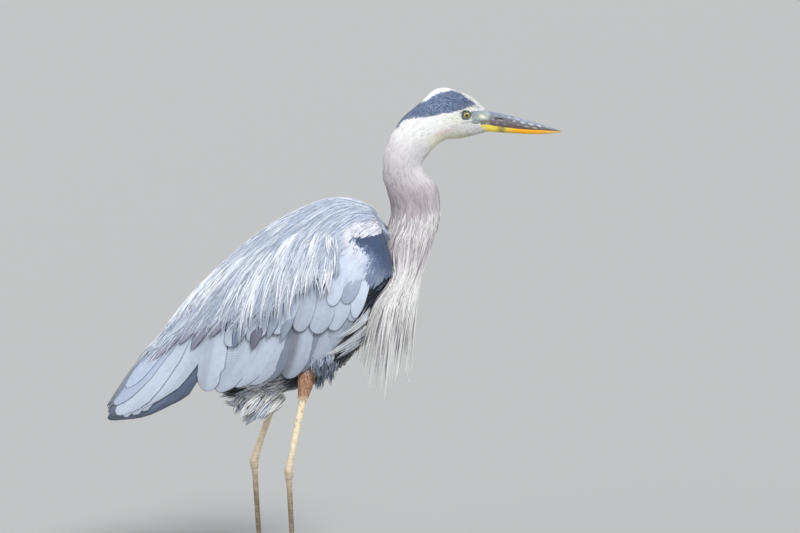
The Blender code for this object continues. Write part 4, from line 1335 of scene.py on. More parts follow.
a, b = sow(bellySurface, belly, onBelly)
length = chance.uniform(*belly["length"], len(a))
shown = ease(np.abs(b) - turnAt(a, np.clip(lowOf(a) + 0.02, 0, 1)), -0.05, 0.45)
shown = shown * (1 - 0.8 * ease(-bellySurface(a, b)[:, 0], 0.13, 0.16))
sunk = -0.0112 + 0.0052 * shown  # deeper where the wing lies over them
look = dict(
    half=belly["half"], root=sunk, tip=sunk + 0.0028 + (0.0012 + 0.0016 * chance.random(len(a))) * shown,
    thick=0.0003, roll=0.2,
)
tint = shades(bellyShade, 0.75, 1.05, 0.18)
layers = [layAll(vanes["leaf"], bellySurface, a, b, length, look, tint, alongRows(0.15), bodyRange)]
for side in (-1, 1):
    for rootX, rootZ, tipX, tipZ, bow, count in flank["streaks"]:
        off = chance.normal(0, 1, (count, 1)) * flank["streakWide"] * np.array(((0.6, -0.8),))
        first = chance.uniform(0, 0.45, (count, 1))
        last = chance.uniform(0.72, 1.0, (count, 1))
        at = first + (last - first) * vanes["plume"]["stations"][None]
        root, tip = np.array((rootX, rootZ)) + off, np.array((tipX, tipZ)) + off * 0.35
        path = onFlank(bowed(root, tip, np.full(count, bow), at), side)
        look = dict(
            half=flank["streakHalf"], root=-0.0075, tip=-0.0022 + 0.0012 * chance.random(count),
            thick=0.0005, roll=0.3, riseEnd=0.35,
        )
        tones = blend(shade["paleBlue"], shade["white"] * 1.1, chance.random(count))
        layers.append(layVanes(vanes["plume"], bodySurface, path, look, tintBy(tones, 0.85, 1.0, 1.0)))

# loose tufts, long dark ones and short pale ones, where the thigh comes out of the flank
count = flank["tufts"]
for side in (-1, 1):
    x = chance.uniform(-0.026, 0.000, count)
    z = flank["tuftHeight"] + chance.normal(0, 0.006, count)
    place, down = placeOf(x, z)
    turn = np.minimum(turnAt(place, down) + chance.uniform(0.0, 0.5, count), 2.6) * side
    heading = unit(np.stack([chance.normal(-0.15, 0.15, count), 0.10 * side + 0 * x, -1 + 0 * x], -1))
    dark = chance.random(count) < 0.5
    darkness = np.where(dark, 0.92, 0.15) * chance.uniform(0.8, 1.0, count)
    tones = blend(shade["paleBlue"] * 1.05, shade["slate"] * 0.8, darkness)
    length = chance.uniform(*flank["tuftLength"], count) * np.where(dark, 1.0, flank["paleLength"])
    layers.append(tufts(
        bellySurface, place, turn, heading, length, flank["tuftStrands"], 0.0030, 0.0006,
        lambda each: tintBy(tones[each], 0.9, 1.0, 1.0, 0.06), bodyRange,
    ))
joinCoat("bellyFeathers", layers, softLook, "body_feathers")

print("tail")
tail = {
    "count": 12,
    "spread": 0.86,  # share of the body's depth that it reaches down to
    "from": 5.9,
    "to": 7.93,
    "half": 0.0115,
    "level": -0.0062,
}
across = np.linspace(-1, 1, tail["count"])
order = np.argsort(-np.abs(across))  # outermost feathers lie lowest
spot = across[order]
reach = tail["to"] - 0.10 * np.abs(spot) - 0.10 * chance.random(len(spot))
places = tail["from"] + (reach[:, None] - tail["from"]) * vanes["blade"]["stations"][None]
turns = spot[:, None] * turnAt(places, tail["spread"] * np.ones_like(places))
level = tail["level"] + 0.0026 * (1 - np.abs(spot))
look = dict(
    half=tail["half"], root=level - 0.001, tip=level + 0.0014 * (1 - np.abs(spot)) + 0.0022, thick=0.0004,
    hug=True, roll=0.05, ragged=0.05,
)
path = pathOn(bodySurface, places, turns)
colours = blend(shade["blueGrey"] * 0.60, shade["slate"] * 1.1, np.abs(spot) * 0.6)
tint = tintBy(colours, 0.8, 1.15, 0.8, tip=0.6)
rectrices = layVanes(vanes["blade"], bodySurface, path, look, tint)
joinCoat("tailFeathers", [rectrices], vaneLook, "tail_feathers", "tail", edge=179)

# big wing feathers seen from the side, each lying over the one before it:
# root x, z, tip x, z, half width, level, bow, colour, its strength, strength of the rear web
wing = {
    "layerStep": 0.0010,
    "thick": 0.00035,
    "tilt": 0.055,  # every feather's front edge stands a little proud
    "under": 26,  # feathers in the close row underneath
    "underRows": (0.9, 5.2),
    "underHalf": 0.0125,
    "feathers": [
        # primaries
        (-0.150, 0.400, -0.246, 0.283, 0.0125, -5.2, 0.05, "slate", 1.0, 0.8),
        (-0.160, 0.400, -0.258, 0.276, 0.0125, -4.9, 0.05, "slate", 1.1, 0.8),
        (-0.170, 0.400, -0.271, 0.270, 0.0125, -4.6, 0.05, "slate", 1.25, 0.8),
        (-0.180, 0.400, -0.284, 0.265, 0.0125, -4.3, 0.05, "slate", 1.3, 0.8),
        (-0.190, 0.400, -0.298, 0.262, 0.0120, -4.0, 0.05, "slate", 1.4, 0.8),
        (-0.200, 0.400, -0.313, 0.262, 0.0115, -3.7, 0.05, "slate", 1.1, 0.8),
        (-0.210, 0.402, -0.325, 0.266, 0.0110, -3.4, 0.04, "darkSlate", 2.2, 0.8),
        # long pale rear feathers
        (-0.176, 0.408, -0.279, 0.278, 0.0150, -2.4, 0.05, "paleBlue", 0.86, 0.9),
        (-0.186, 0.410, -0.293, 0.272, 0.0160, -2.0, 0.05, "paleBlue", 0.95, 0.9),
        (-0.194, 0.414, -0.304, 0.268, 0.0175, -1.5, 0.05, "paleBlue", 1.00, 0.88),
        (-0.202, 0.420, -0.314, 0.270, 0.0205, -1.0, 0.04, "paleBlue", 0.93, 0.95),
        (-0.206, 0.424, -0.318, 0.284, 0.0150, -0.4, 0.02, "blueGrey", 1.20, 0.9),
        (-0.204, 0.428, -0.300, 0.309, 0.0140, 0.0, 0.0, "blueGrey", 1.30, 0.95),
        # secondaries, front to back
        (0.050, 0.490, 0.012, 0.398, 0.0170, -4.4, 0.02, "paleBlue", 0.80, 0.8),
        (0.030, 0.460, -0.012, 0.366, 0.0185, -4.0, 0.03, "paleBlue", 0.90, 0.8),
        (0.011, 0.437, -0.034, 0.346, 0.0190, -3.6, 0.04, "paleBlue", 0.96, 0.8),
        (-0.018, 0.430, -0.047, 0.336, 0.0170, -3.8, 0.04, "blueGrey", 0.85, 0.7),
        (-0.041, 0.432, -0.064, 0.327, 0.0205, -3.0, 0.05, "paleBlue", 0.95, 0.42),
        (-0.060, 0.425, -0.097, 0.323, 0.0160, -3.6, 0.06, "blueGrey", 0.70, 0.8),
        (-0.072, 0.418, -0.121, 0.3195, 0.0180, -3.1, 0.09, "paleBlue", 0.93, 0.85),
        (-0.086, 0.420, -0.143, 0.3165, 0.0180, -2.7, 0.08, "paleBlue", 1.00, 0.85),
        (-0.108, 0.420, -0.1675, 0.3080, 0.0185, -2.3, 0.06, "paleBlue", 0.94, 0.85),
        (-0.166, 0.412, -0.1835, 0.3085, 0.0200, -1.6, 0.02, "paleBlue", 0.98, 0.78),
        # coverts over them
        (0.060, 0.510, 0.034, 0.420, 0.0108, -0.6, -0.03, "paleBlue", 1.26, 0.95),
        (0.050, 0.508, 0.029, 0.415, 0.0120, -2.2, 0.0, "paleBlue", 1.05, 0.95),
        (0.026, 0.496, 0.0010, 0.402, 0.0165, -1.9, 0.03, "paleBlue", 1.02, 0.92),
        (-0.004, 0.470, -0.024, 0.399, 0.0170, -1.4, 0.04, "paleBlue", 0.90, 1.0),
        (0.038, 0.512, 0.0200, 0.4430, 0.0135, -0.8, 0.02, "blueGrey", 1.22, 0.92),
        (0.012, 0.508, 0.000, 0.440, 0.0120, -0.9, 0.02, "paleBlue", 1.08, 0.95),
        (-0.030, 0.480, -0.049, 0.402, 0.0150, -1.5, 0.03, "paleBlue", 0.84, 0.9),
        (-0.052, 0.470, -0.083, 0.398, 0.0150, -1.2, 0.04, "paleBlue", 0.88, 0.9),
        (-0.085, 0.460, -0.120, 0.386, 0.0150, -1.0, 0.04, "paleBlue", 0.84, 0.9),
        (-0.118, 0.450, -0.152, 0.378, 0.0150, -0.8, 0.04, "paleBlue", 0.88, 0.9),
    ],
    "pointed": [  # darker pointed tips that show between the long plumes
        (-0.056, 0.440, -0.0715, 0.3890, 0.0085, 0.0, 0.0, "blueGrey", 0.95, 0.8),
        (-0.076, 0.440, -0.0920, 0.3910, 0.0080, 0.1, 0.0, "blueGrey", 1.00, 0.8),
        (-0.100, 0.430, -0.1150, 0.3730, 0.0092, 0.2, 0.0, "purpleGrey", 0.72, 0.75),
        (-0.126, 0.430, -0.1420, 0.3750, 0.0088, 0.3, 0.0, "slate", 1.9, 0.8),
        (-0.150, 0.440, -0.1740, 0.3900, 0.0090, 0.4, 0.02, "purpleGrey", 1.05, 0.85),
        (-0.172, 0.440, -0.2030, 0.3700, 0.0105, 0.5, 0.02, "purpleGrey", 0.95, 0.85),
        (-0.188, 0.440, -0.2200, 0.3760, 0.0100, 0.6, 0.02, "purpleGrey", 1.10, 0.9),
        (-0.190, 0.445, -0.2660, 0.3470, 0.0110, 0.5, 0.04, "purpleGrey", 1.05, 0.9),
        (-0.180, 0.462, -0.2560, 0.3640, 0.0095, 0.9, 0.04, "blueGrey", 1.15, 0.6),
        (-0.172, 0.470, -0.2450, 0.3790, 0.0095, 1.2, 0.05, "paleBlue", 0.95, 0.7),
    ],
}


# the rear web is darker partly in its own colour and partly as painted shadow of the next feather over it;
# the root is darker as painted shade
def bladeTint(colours, rear, side):  # pale front edge, darker rear web
    def tint(start, spots, share, across):
        front = across * side
        tone = 1 + 0.04 * chance.uniform(-1, 1, (len(start), 1)) + 0.05 * ripple(spots, 0.014)
        body = 0.86 + 0.14 * ease(share, 0.0, 0.5)
        web = rear[:, None] + (1 - rear[:, None]) * ease(front, -0.30, 0.25)
        rim = 1 + 0.42 * ease(np.abs(front), 0.84, 1.0) * ease(share, 0.3, 0.7)
        return colours[:, None, :] * (tone * body * web * rim)[..., None]

    return tint


def bladeLayer(vane, rows, side):
    numbers = np.array([row[:7] for row in rows])
    order = np.argsort(numbers[:, 5], kind="stable")
    numbers = numbers[order]
    tints = np.array([shade[rows[i][7]] * rows[i][8] for i in order])
    rear = np.array([rows[i][9] for i in order])
    line = bowed(numbers[:, :2], numbers[:, 2:4], numbers[:, 6], vane["stations"][None])
    path = onFlank(line, side)
    level = numbers[:, 5] * wing["layerStep"]
    look = dict(
        half=numbers[:, 4], root=level - 0.0026, tip=level, thick=wing["thick"], hug=True,
        tilt=wing["tilt"] * side, roll=0.01, cup=0.05, ragged=0.02,
    )
    return layVanes(vane, bodySurface, path, look, bladeTint(tints, rear, side))


print("wings")
for sideName, side in (("Left", 1), ("Right", -1)):
    big = bladeLayer(vanes["blade"], wing["feathers"], side)
    tips = bladeLayer(vanes["lance"], wing["pointed"], side)
    # a close row underneath, so that nothing shows between the big ones
    place = np.linspace(*wing["underRows"], wing["under"])
    stations = vanes["blade"]["stations"][None]
    places = (place[:, None] - 0.12) + 0.2 * stations
    downs = (lowOf(place)[:, None] - 0.52) + 0.47 * stations
    path = pathOn(bodySurface, places, side * turnAt(places, downs))
    look = dict(
        half=wing["underHalf"], root=-0.0080, tip=-0.0056, thick=0.0003, hug=True, tilt=0.05 * side,
        roll=0.01,
    )
    tint = tintBy(np.tile(shade["blueGrey"] * 0.9, (wing["under"], 1)), 0.8, 1.1)
    under = layVanes(vanes["blade"], bodySurface, path, look, tint)
    nodes = [f"{node}_{sideName.lower()}" for node in ("wing_secondaries", "wing_primaries")]
    joinCoat("wingFeathers" + sideName, [under, big, tips], vaneLook, "secondary_feathers", *nodes, edge=179)


coverts = {
    "rows": (0.02, 2.5),
    "turns": (0.25, 2.2),
    "rowGap": 0.0034,
    "gap": 0.0024,
    "half": 0.0024,
    "length": 0.023,
    "lie": (-0.38, 0, -0.92),
    # x, z of their lower edge, and z, x of their front edge and of the dark patch's front
    "low": ((-0.05, 0.0, 0.020, 0.035, 0.060, 0.075), (0.492, 0.480, 0.488, 0.494, 0.496, 0.478)),
    "front": ((0.43, 0.455, 0.473, 0.490, 0.506), (0.050, 0.057, 0.066, 0.078, 0.2)),
    "patch": (
        (0.43, 0.478, 0.490, 0.523, 0.533, 0.541, 0.550),
        (0.076, 0.064, 0.058, 0.055, 0.048, 0.038, 0.036),
    ),
}


def covertShade(point):
    x, _, z = axes(point)
    inPatch = x - np.interp(z, *coverts["patch"])
    soft = ease(0.5 + 0.5 * ripple(point, 0.022) + 0.25 * ripple(point, 0.009, 2.0), 0.2, 0.9)
    colour = blend(shade["paleBlue"] * 1.28, shade["blueGrey"] * 1.45, 0.9 * soft)
    colour = blend(colour, shade["shoulderPale"], 0.5 * onMark("shoulder", x, z))
    middle = blend(shade["shoulderBlue"], shade["blueGrey"] * 0.9, 0.5 * soft)
    faded = ease(0.507 - z, 0.0, 0.030) * (0.5 + 0.5 * chance.random(x.shape))
    middle = blend(middle, shade["paleBlue"] * 0.85, 0.55 * faded)
    below = 1 - ease(z, 0.546, 0.553)
    inner = ease(inPatch + 0.003 * chance.normal(0, 1, x.shape), -0.006, 0.006) * ease(z, 0.462, 0.486)
    colour = blend(colour, middle, inner * below)
    outer = ease(inPatch + 0.45 * (z - 0.524), -0.001, 0.016) * ease(inPatch, -0.004, 0.004)
    return blend(colour, shade["shoulderDark"], outer * below)


def onWing(point, a, b):
    x, z = point[:, 0], point[:, 2]
    low, front = np.interp(x, *coverts["low"]), np.interp(z, *coverts["front"])
    return (np.abs(b) > turnAt(a, np.clip(topOf(a) - 0.10, 0.001, 1))) & (z > low) & (x < front)


print("wing coverts")
for sideName, side in (("Left", 1), ("Right", -1)):
    turns = sorted(side * turn for turn in coverts["turns"])
    a, b = sow(bodySurface, dict(coverts, turns=turns), onWing)
    small = 1 - 0.45 * (1 - ease(a, 0.3, 1.4))
    look = dict(
        half=coverts["half"] * small, root=-0.0050, tip=-0.0012 + 0.0002 * chance.random(len(a)),
        thick=0.00014, roll=0.02, hug=True, riseEnd=0.25, ragged=0.08, cup=0.01,
    )
    length = coverts["length"] * small * chance.uniform(0.8, 1.2, len(a))
    tint, lie = shades(covertShade, 1.0, 1.0, 0.03), along(coverts["lie"], 0.06)
    coat = layAll(vanes["leaf"], bodySurface, a, b, length, look, tint, lie, bodyRange)
    node = "wing_coverts_" + sideName.lower()
    joinCoat("covertFeathers" + sideName, [coat], vaneLook, "covert_feathers", node)


def mantleShade(point):
    x, _, z = axes(point)
    colour = blend(shade["mantle"] * 1.06, shade["paleBlue"] * 0.80, 0.30 + 0.3 * ripple(point, 0.05))
    hem = ease(x, 0.018, 0.030) * (1 - ease(z, 0.551, 0.558)) * (1 - ease(x, 0.062, 0.075))
    colour = blend(colour, shade["mantleHem"], 0.65 * hem)
    return blend(colour, shade["blueGrey"], 0.4 * ease(-x, 0.12, 0.25))


def streakShade(point):  # silky strands, some pale and some dark
    colour = blend(mantleShade(point), shade["plume"], 0.75 * chance.random(len(point)) ** 1.3)
    return blend(colour, shade["blueGrey"], 0.8 * (chance.random(len(point)) < 0.26))


def onMantle(point, a, b):
    edge = turnAt(a, np.clip(topOf(a) + 0.10, 0.001, 1))
    return (np.abs(b) < edge) & ((point[:, 2] > 0.5440) | (point[:, 0] < 0.030))


mantle = {
    "rows": (0.03, 6.15),
    "turns": (-1.75, 1.75),
    "rowGap": 0.0058,
    "gap": 0.0046,
    "front": {"rows": (0.02, 1.0), "rowGap": 0.0046, "gap": 0.0042},  # the front of the body is covered twice
    "lie": (-0.62, 0, -0.78),
    "source": (0.105, 0, 0.550),  # the feathers fan out from here
    "leafHalf": 0.0033,
    "leaf": (0.022, 0.034),
    "strandHalf": 0.0006,
    "strand": (0.030, 0.062),
    "strandShare": 0.8,
}

print("mantle")
a, b = sow(bodySurface, mantle, onMantle)
frontA, frontB = sow(bodySurface, mantle | mantle["front"], onMantle)
a, b = np.concatenate([a, frontA]), np.concatenate([b, frontB])
point = bodySurface(a, b)
hem = (point[:, 0] > 0.020) * (1 - ease(point[:, 2], 0.550, 0.590))  # shorter where the shoulder shows below
short = (1 - 0.35 * (1 - ease(a, 0.1, 0.9))) * (1 - 0.6 * hem)
length = chance.uniform(*mantle["leaf"], len(a)) * short
look = dict(
    half=mantle["leafHalf"], root=-0.0060, tip=-0.0004 + 0.0003 * chance.random(len(a)), thick=0.0002,
    roll=0.03, hug=True, riseEnd=0.22, cup=0.02,
)
tint, lie = shades(mantleShade, 0.95, 1.0, 0.06), along(mantle["lie"], 0.06, mantle["source"])
ground = layAll(vanes["leaf"], bodySurface, a, b, length, look, tint, lie, bodyRange)
keep = (chance.random(len(a)) < mantle["strandShare"]) & (np.arange(len(a)) < len(a) - 0.6 * len(frontA))
a, b = a[keep], b[keep]
length = chance.uniform(*mantle["strand"], len(a)) * short[keep]
look = dict(
    half=mantle["strandHalf"], root=-0.0034, tip=0.0003 + 0.0010 * chance.random(len(a)), thick=0.0004,
    roll=0.15, riseEnd=0.3,
)
tint, lie = shades(streakShade, 0.95, 1.0, 0.06), along(mantle["lie"], 0.08, mantle["source"])
strands = layAll(vanes["plume"], bodySurface, a, b, length, look, tint, lie, bodyRange)

# short feathers at the foot of the neck reach back over the front of the body
cape = {"count": 600, "from": (11.3, 12.2), "spread": 0.70, "reach": (0.25, 0.75), "half": 0.0020}
start = chance.uniform(*cape["from"], cape["count"])
turn = chance.uniform(-cape["spread"], cape["spread"], cape["count"])
end = chance.uniform(*cape["reach"], cape["count"])
stations = vanes["leaf"]["stations"]
at = stations[None, :, None]
neckPoint, _, _, neckNormal = frameAt(neckSurface, start, turn % (2 * math.pi))
overEdge, _, _, edgeNormal = frameAt(bodySurface, 0.08 + 0 * end, turn * 0.9)
bodyPoint, _, _, bodyNormal = frameAt(bodySurface, end, turn * 0.9)
line = bend(neckPoint - 0.002 * neckNormal, overEdge + 0.0010 * edgeNormal, bodyPoint, stations)
normals = unit(neckNormal[:, None] * (1 - at) * 0.5 + edgeNormal[:, None] * 0.6 + bodyNormal[:, None] * at)
places, turns = (np.broadcast_to(value[:, None], line.shape[:2]) for value in (end, turn))
path = (line, normals, places, turns)
look = dict(half=cape["half"], root=-0.0010, tip=0.0004, thick=0.0003, roll=0.1, cup=0.03)
capeCoat = layVanes(vanes["leaf"], bodySurface, path, look, shades(mantleShade, 0.85, 1.0, 0.12))
joinCoat("mantleFeathers", [ground, strands, capeCoat], softLook, "mantle_feathers", "mantle")

# long plumes hanging from the back over the wing: where they start and where they end, seen from the side
plumes = {
    "roots": np.array([
        (0.006, 0.540), (-0.004, 0.542), (-0.010, 0.547), (-0.018, 0.550), (-0.028, 0.550),
        (-0.040, 0.547), (-0.050, 0.543), (-0.058, 0.539), (-0.066, 0.535), (-0.082, 0.530),
        (-0.096, 0.525), (-0.125, 0.510), (-0.150, 0.494),
    ]),
    "tips": np.array([
        (0.010, 0.482), (-0.006, 0.448), (-0.033, 0.450), (-0.046, 0.436), (-0.070, 0.401),
        (-0.092, 0.401), (-0.109, 0.389), (-0.122, 0.389), (-0.141, 0.369), (-0.163, 0.396),
        (-0.193, 0.381), (-0.226, 0.394), (-0.247, 0.386),
    ]),
    "bowAt": (0.0, 0.15, 0.5, 0.8, 1.0),
    "bow": (0.04, -0.04, -0.10, -0.10, -0.05),
    "ground": 420,
    "locks": 52,
    "strands": 6,
    "wholeShare": 0.42,  # share of the locks that hang down to the very tips
    "wholeLocks": {"end": (0.86, 1.0), "length": (0.60, 1.0), "paleness": (0.75, 1.0)},
    "shortLocks": {"end": (0.35, 0.90), "length": (0.30, 0.7), "paleness": (0.2, 0.9)},
}


def alongLine(line, share):
    return np.stack([np.interp(share * (len(line) - 1), range(len(line)), line[:, i]) for i in (0, 1)], -1)


def plumeLine(which, at):
    bow = np.interp(which, plumes["bowAt"], plumes["bow"])
    return bowed(alongLine(plumes["roots"], which), alongLine(plumes["tips"], which), bow, at)


print("long plumes")
stations = vanes["plume"]["stations"][None]
for sideName, side in (("Left", 1), ("Right", -1)):
    # single blue-grey plumes below, white strands that gather into pointed locks above
    count = plumes["ground"]
    which = chance.random((count, 1)) + chance.normal(0, 0.012, (count, 1)) * stations
    last = 1 - 0.45 * chance.random((count, 1))
    first = last - chance.uniform(0.35, 0.75, (count, 1))
    path = onFlank(plumeLine(which, first + (last - first) * stations), side)
    # the blue-grey ground is partly the plumes' own colour and partly painted shade in the gaps between the
    # white strands
    colours = blend(shade["blueGrey"] * 0.85, shade["paleBlue"] * 0.95, chance.random(count))
    look = dict(
        half=0.0009 + 0.0006 * chance.random(count), root=-0.002,
        tip=0.0004 + 0.0008 * chance.random(count), thick=0.0004, roll=0.2, riseEnd=0.4,
    )
    grey = layVanes(vanes["plume"], bodySurface, path, look, tintBy(colours, 0.85, 1.05, 0.95, 0.06))
    locks, strands = plumes["locks"], plumes["strands"]
    number = locks * strands
    whole = chance.random(locks) < plumes["wholeShare"]
    spot = (np.arange(locks) + chance.uniform(-0.7, 0.7, locks)) / (locks - 1)
    perLock = [spot]
    for key in ("end", "length", "paleness"):
        values = [chance.uniform(*plumes[kind][key], locks) for kind in ("wholeLocks", "shortLocks")]
        perLock.append(np.where(whole, *values))
    spot, end, lengthShare, tone = (np.repeat(value, strands)[:, None] for value in perLock)
    fan = chance.normal(0, 0.026, (number, 1)) * (1 - ease(stations, 0.1, 1.0))
    fan = fan + chance.normal(0, 0.0025, (number, 1))
    last = end - 0.16 * chance.random((number, 1)) ** 2
    first = np.maximum(last - lengthShare * chance.uniform(0.6, 1.15, (number, 1)), -0.04)
    path = onFlank(plumeLine(np.clip(spot + fan, 0, 1), first + (last - first) * stations), side)
    colours = blend(shade["paleBlue"], shade["plume"], tone[:, 0] * chance.uniform(0.6, 1.0, number))
    look = dict(
        half=0.0004 + 0.0005 * chance.random(number), root=-0.0010,
        tip=0.0014 + 0.0012 * chance.random(number), thick=0.0005, roll=0.25, riseEnd=0.4,
    )
    white = layVanes(vanes["plume"], bodySurface, path, look, tintBy(colours, 0.90, 1.05, 0.95, 0.05))
    node = "scapular_plumes_" + sideName.lower()
    joinCoat("scapularPlumes" + sideName, [grey, white], plumeLook, "scapular_plumes", node)

# breast plumes hang from the lower neck in locks
breast = {
    # bearing of each lock in degrees, height of its tip
    "locks": np.array([(0, 0.309), (33, 0.328), (58, 0.320), (83, 0.283), (105, 0.312), (123, 0.338)]),
    # where they leave the neck: row, distance off it, share of the bearing
    "roots": ((11.25, 0.0008, 0.96), (11.95, 0.0030, 0.86), (12.6, 0.0040, 0.76)),
    "chest": (0.084, 0.039, 0.057, 0.430),  # x, reach ahead and aside, z
    "tips": (0.066, 0.045, 0.036),
    "room": 0.0062,
    "last": 133,
    # each lock splits: degrees aside, reach
    "points": ((-12, 0.84), (-8, 0.93), (-4, 1.0), (0, 0.89), (4, 0.97), (8, 0.88), (12, 0.80)),
    # strands in each point, half width, level, first starts up to, gathers from, colours, their strength
    "layers": (
        # the lower layers are mauve and purple-grey: partly the plumes' own colour, partly painted shade
        # between the white strands
        (15, 0.0010, -0.0014, 0.50, 0.60, "neckMauve", "purpleGrey", 0.95),
        (8, 0.0008, -0.0004, 0.60, 0.45, "neckPink", "purpleGrey", 0.95),
        (6, 0.0006, 0.0016, 0.80, 0.25, "white", "white", 1.04),
    ),
}


def smoothEach(spots, at):  # every strand has its own row of spots
    def pick(index, last):
        return np.take_along_axis(spots, np.clip(index, 0, last)[None, ..., None], 0)[0]

    return curveBetween(len(spots) - 1, at, pick)


def curtain(share, bearing):  # bearing 0 straight ahead, positive to the right
    share, bearing = np.broadcast_arrays(np.asarray(share, float), np.asarray(bearing, float))
    ahead, beside = np.cos(bearing), -np.sin(bearing)
    spots = []
    for place, off, reach in breast["roots"]:
        turn = math.pi + reach * bearing
        row = smooth(neckRows, np.array(place))
        centre = np.array(((row[0] + row[2]) / 2, 0, (row[1] + row[3]) / 2))
        lean = np.array(((row[0] - row[2]) / 2, 0, (row[1] - row[3]) / 2))
        offset = lean * np.cos(turn)[..., None] + np.array((0, row[4], 0)) * np.sin(turn)[..., None]
        spots.append(centre + offset * (1 + (off + 0.0006) / np.linalg.norm(offset, axis=-1, keepdims=True)))
    chestX, chestAhead, chestBeside, chestZ = breast["chest"]
    spots.append(np.stack([chestX + chestAhead * ahead, chestBeside * beside, chestZ + 0 * ahead], -1))
    tipX, tipAhead, tipBeside = breast["tips"]
    tipZ = np.interp(np.abs(np.degrees(bearing)), *breast["locks"].T)
    spots.append(np.stack([tipX + tipAhead * ahead, tipBeside * beside, tipZ], -1))
    point = smoothEach(np.stack(spots), np.clip(share, 0, 1) * 4)
    place, down = placeOf(point[..., 0], point[..., 2])
    room = np.abs(bellySurface(place, turnAt(place, down))[..., 1]) * np.sqrt(np.clip(place / 0.4, 0, 1))
    room = np.where((down > 0.001) & (down < 0.999) & (place < 5.7), room + breast["room"], 0)
    wide = (np.abs(point[..., 1]) ** 8 + room**8) ** 0.125
    side = np.where(bearing > 0, -1, 1)
    return np.stack([point[..., 0], side * np.where(np.abs(bearing) > 1e-6, wide, 0), point[..., 2]], -1)


print("breast plumes")


def fromNeck(colours):  # a strand starts in the neck's own colour
    def tint(start, spots, share, across):
        tone = 1 + 0.12 * chance.uniform(-1, 1, (len(start), 1, 1))
        # 0.93: a little darker at the start, painted shade matching the self-shadow of the neck feathers
        first = neckStrandShade(start)[:, None, :] * 0.93
        return blend(first, colours[:, None, :], ease(share, 0.10, 0.75)[None]) * tone

    return tint


layers = []
for strands, half, level, startUpTo, gatherFrom, mainColour, otherColour, strength in breast["layers"]:
    palest = mainColour == "white"
    bearings, shares = [], []
    for side in (-1, 1):
        for bearing, _ in breast["locks"]:
            for aside, reach in breast["points"]:
                number = strands if bearing else strands // 2
                start = np.radians(bearing + 0.6 * aside) + chance.uniform(-0.30, 0.30, (number, 1))
                goal = np.radians(bearing + aside) + chance.normal(0, 0.014, (number, 1))
                first = chance.random((number, 1)) ** 1.2 * startUpTo
                last = reach - 0.16 * chance.random((number, 1)) ** 2 - 0.06 * (not palest)
                last = np.maximum(last, first + 0.25)
                share = first + (last - first) * stations
                turn = start + (goal - start) * ease(share, gatherFrom, 1.0)
                turn = np.clip(turn, -0.1 if bearing == 0 else 0.0, np.radians(breast["last"]))
                bearings.append(side * turn)
                shares.append(share)
    share, bearing = np.concatenate(shares), np.concatenate(bearings)
    count = len(share)
    path = pathOn(curtain, share, bearing)
    mix = chance.random(count) ** (2.0 if palest else 1.0)
    colours = strength * blend(shade[mainColour], shade[otherColour], 0.8 * mix)
    look = dict(
        half=half * chance.uniform(0.7, 1.3, count), root=level - 0.0010, tip=level, thick=0.0004,
        roll=0.3, riseEnd=0.3,
    )
    patch = patchOn(share[:, 0], bearing[:, 0], (0, 1), (-2.4, 2.4))
    layers.append(layVanes(vanes["plume"], curtain, path, look, fromNeck(colours), patch))

# streamers on the lowest neck lead into the plumes
streamers = {
    "rows": (9.6, 11.5),
    "turns": (0.9, 2 * math.pi - 0.9),
    "rowGap": 0.0050,
    "gap": 0.0030,
    "length": (0.030, 0.055),
    "half": 0.0006,
    "dark": 0.40,  # share of dark ones
}
a, b = sow(neckSurface, streamers)
tone = blend(shade["white"] * 0.92, shade["neckMauve"], 0.8 * (chance.random(len(a)) < streamers["dark"]))
look = dict(
    half=streamers["half"], root=-0.0042, tip=0.0012 + 0.0012 * chance.random(len(a)), thick=0.0003,
    roll=0.3,
)
length = chance.uniform(*streamers["length"], len(a))
tint, lie = fromNeck(tone), alongRows(0.05)
layers.append(layAll(vanes["plume"], neckSurface, a, b, length, look, tint, lie, neckRange))
joinCoat("breastPlumes", layers, plumeLook, "breast_plumes", "breast_plumes")

print("thighs")
thigh = {
    "rows": (-0.28, 0.95),
    "turns": allRound,
    "rowGap": 0.0026,
    "gap": 0.0020,
    "length": (0.007, 0.013),
    "half": 0.0009,
    "radii": ((-0.3, 0, 0.35, 0.7, 1.0), (0.0120, 0.0138, 0.0128, 0.0100, 0.0072)),  # place down, radius
}
thighRange = ((-0.3, 1), allRound)


def thighSurfaceOf(spec):
    hip, feathered, _, _ = legPoints(spec)
    ahead = unit(feathered - hip)
    lowest = feathered - ahead * 0.004

    def surface(a, b):
        radius = np.interp(a, *thigh["radii"])
        centre = hip + (lowest - hip) * np.asarray(a, float)[..., None]
        side = np.array((0, 1.0, 0))
        front = unit(np.cross(ahead, side))
        return centre - front * (radius * np.cos(b))[..., None] + side * (radius * np.sin(b))[..., None]

    return surface


def thighShade(point):
    z = point[..., 2]
    paler = shade["rust"] * np.array((1.20, 1.5, 1.6))
    colour = blend(shade["rust"], paler, 0.5 + 0.5 * ripple(point, 0.014))
    colour = blend(colour, shade["legFlesh"] * 0.9, 0.7 * (1 - ease(z, 0.298, 0.316)))
    return blend(colour, shade["blueGrey"] * 0.8, 0.7 * ease(z, 0.338, 0.352))


for name in ("right", "left"):
    surface = thighSurfaceOf(legs[name])
    a, b = sow(surface, thigh)
    look = dict(
        half=thigh["half"], root=-0.0016, tip=0.0002 + 0.0006 * chance.random(len(a)), thick=0.0003,
        roll=0.25,
    )
    tint = shades(thighShade, 0.85, 1.0, 0.14)
    length = chance.uniform(*thigh["length"], len(a))
    coat = layAll(vanes["leaf"], surface, a, b, length, look, tint, alongRows(0.12), thighRange)
    joinCoat(f"thighFeathers{name.title()}", [coat], softLook, "thigh_feathers")

print("vent")
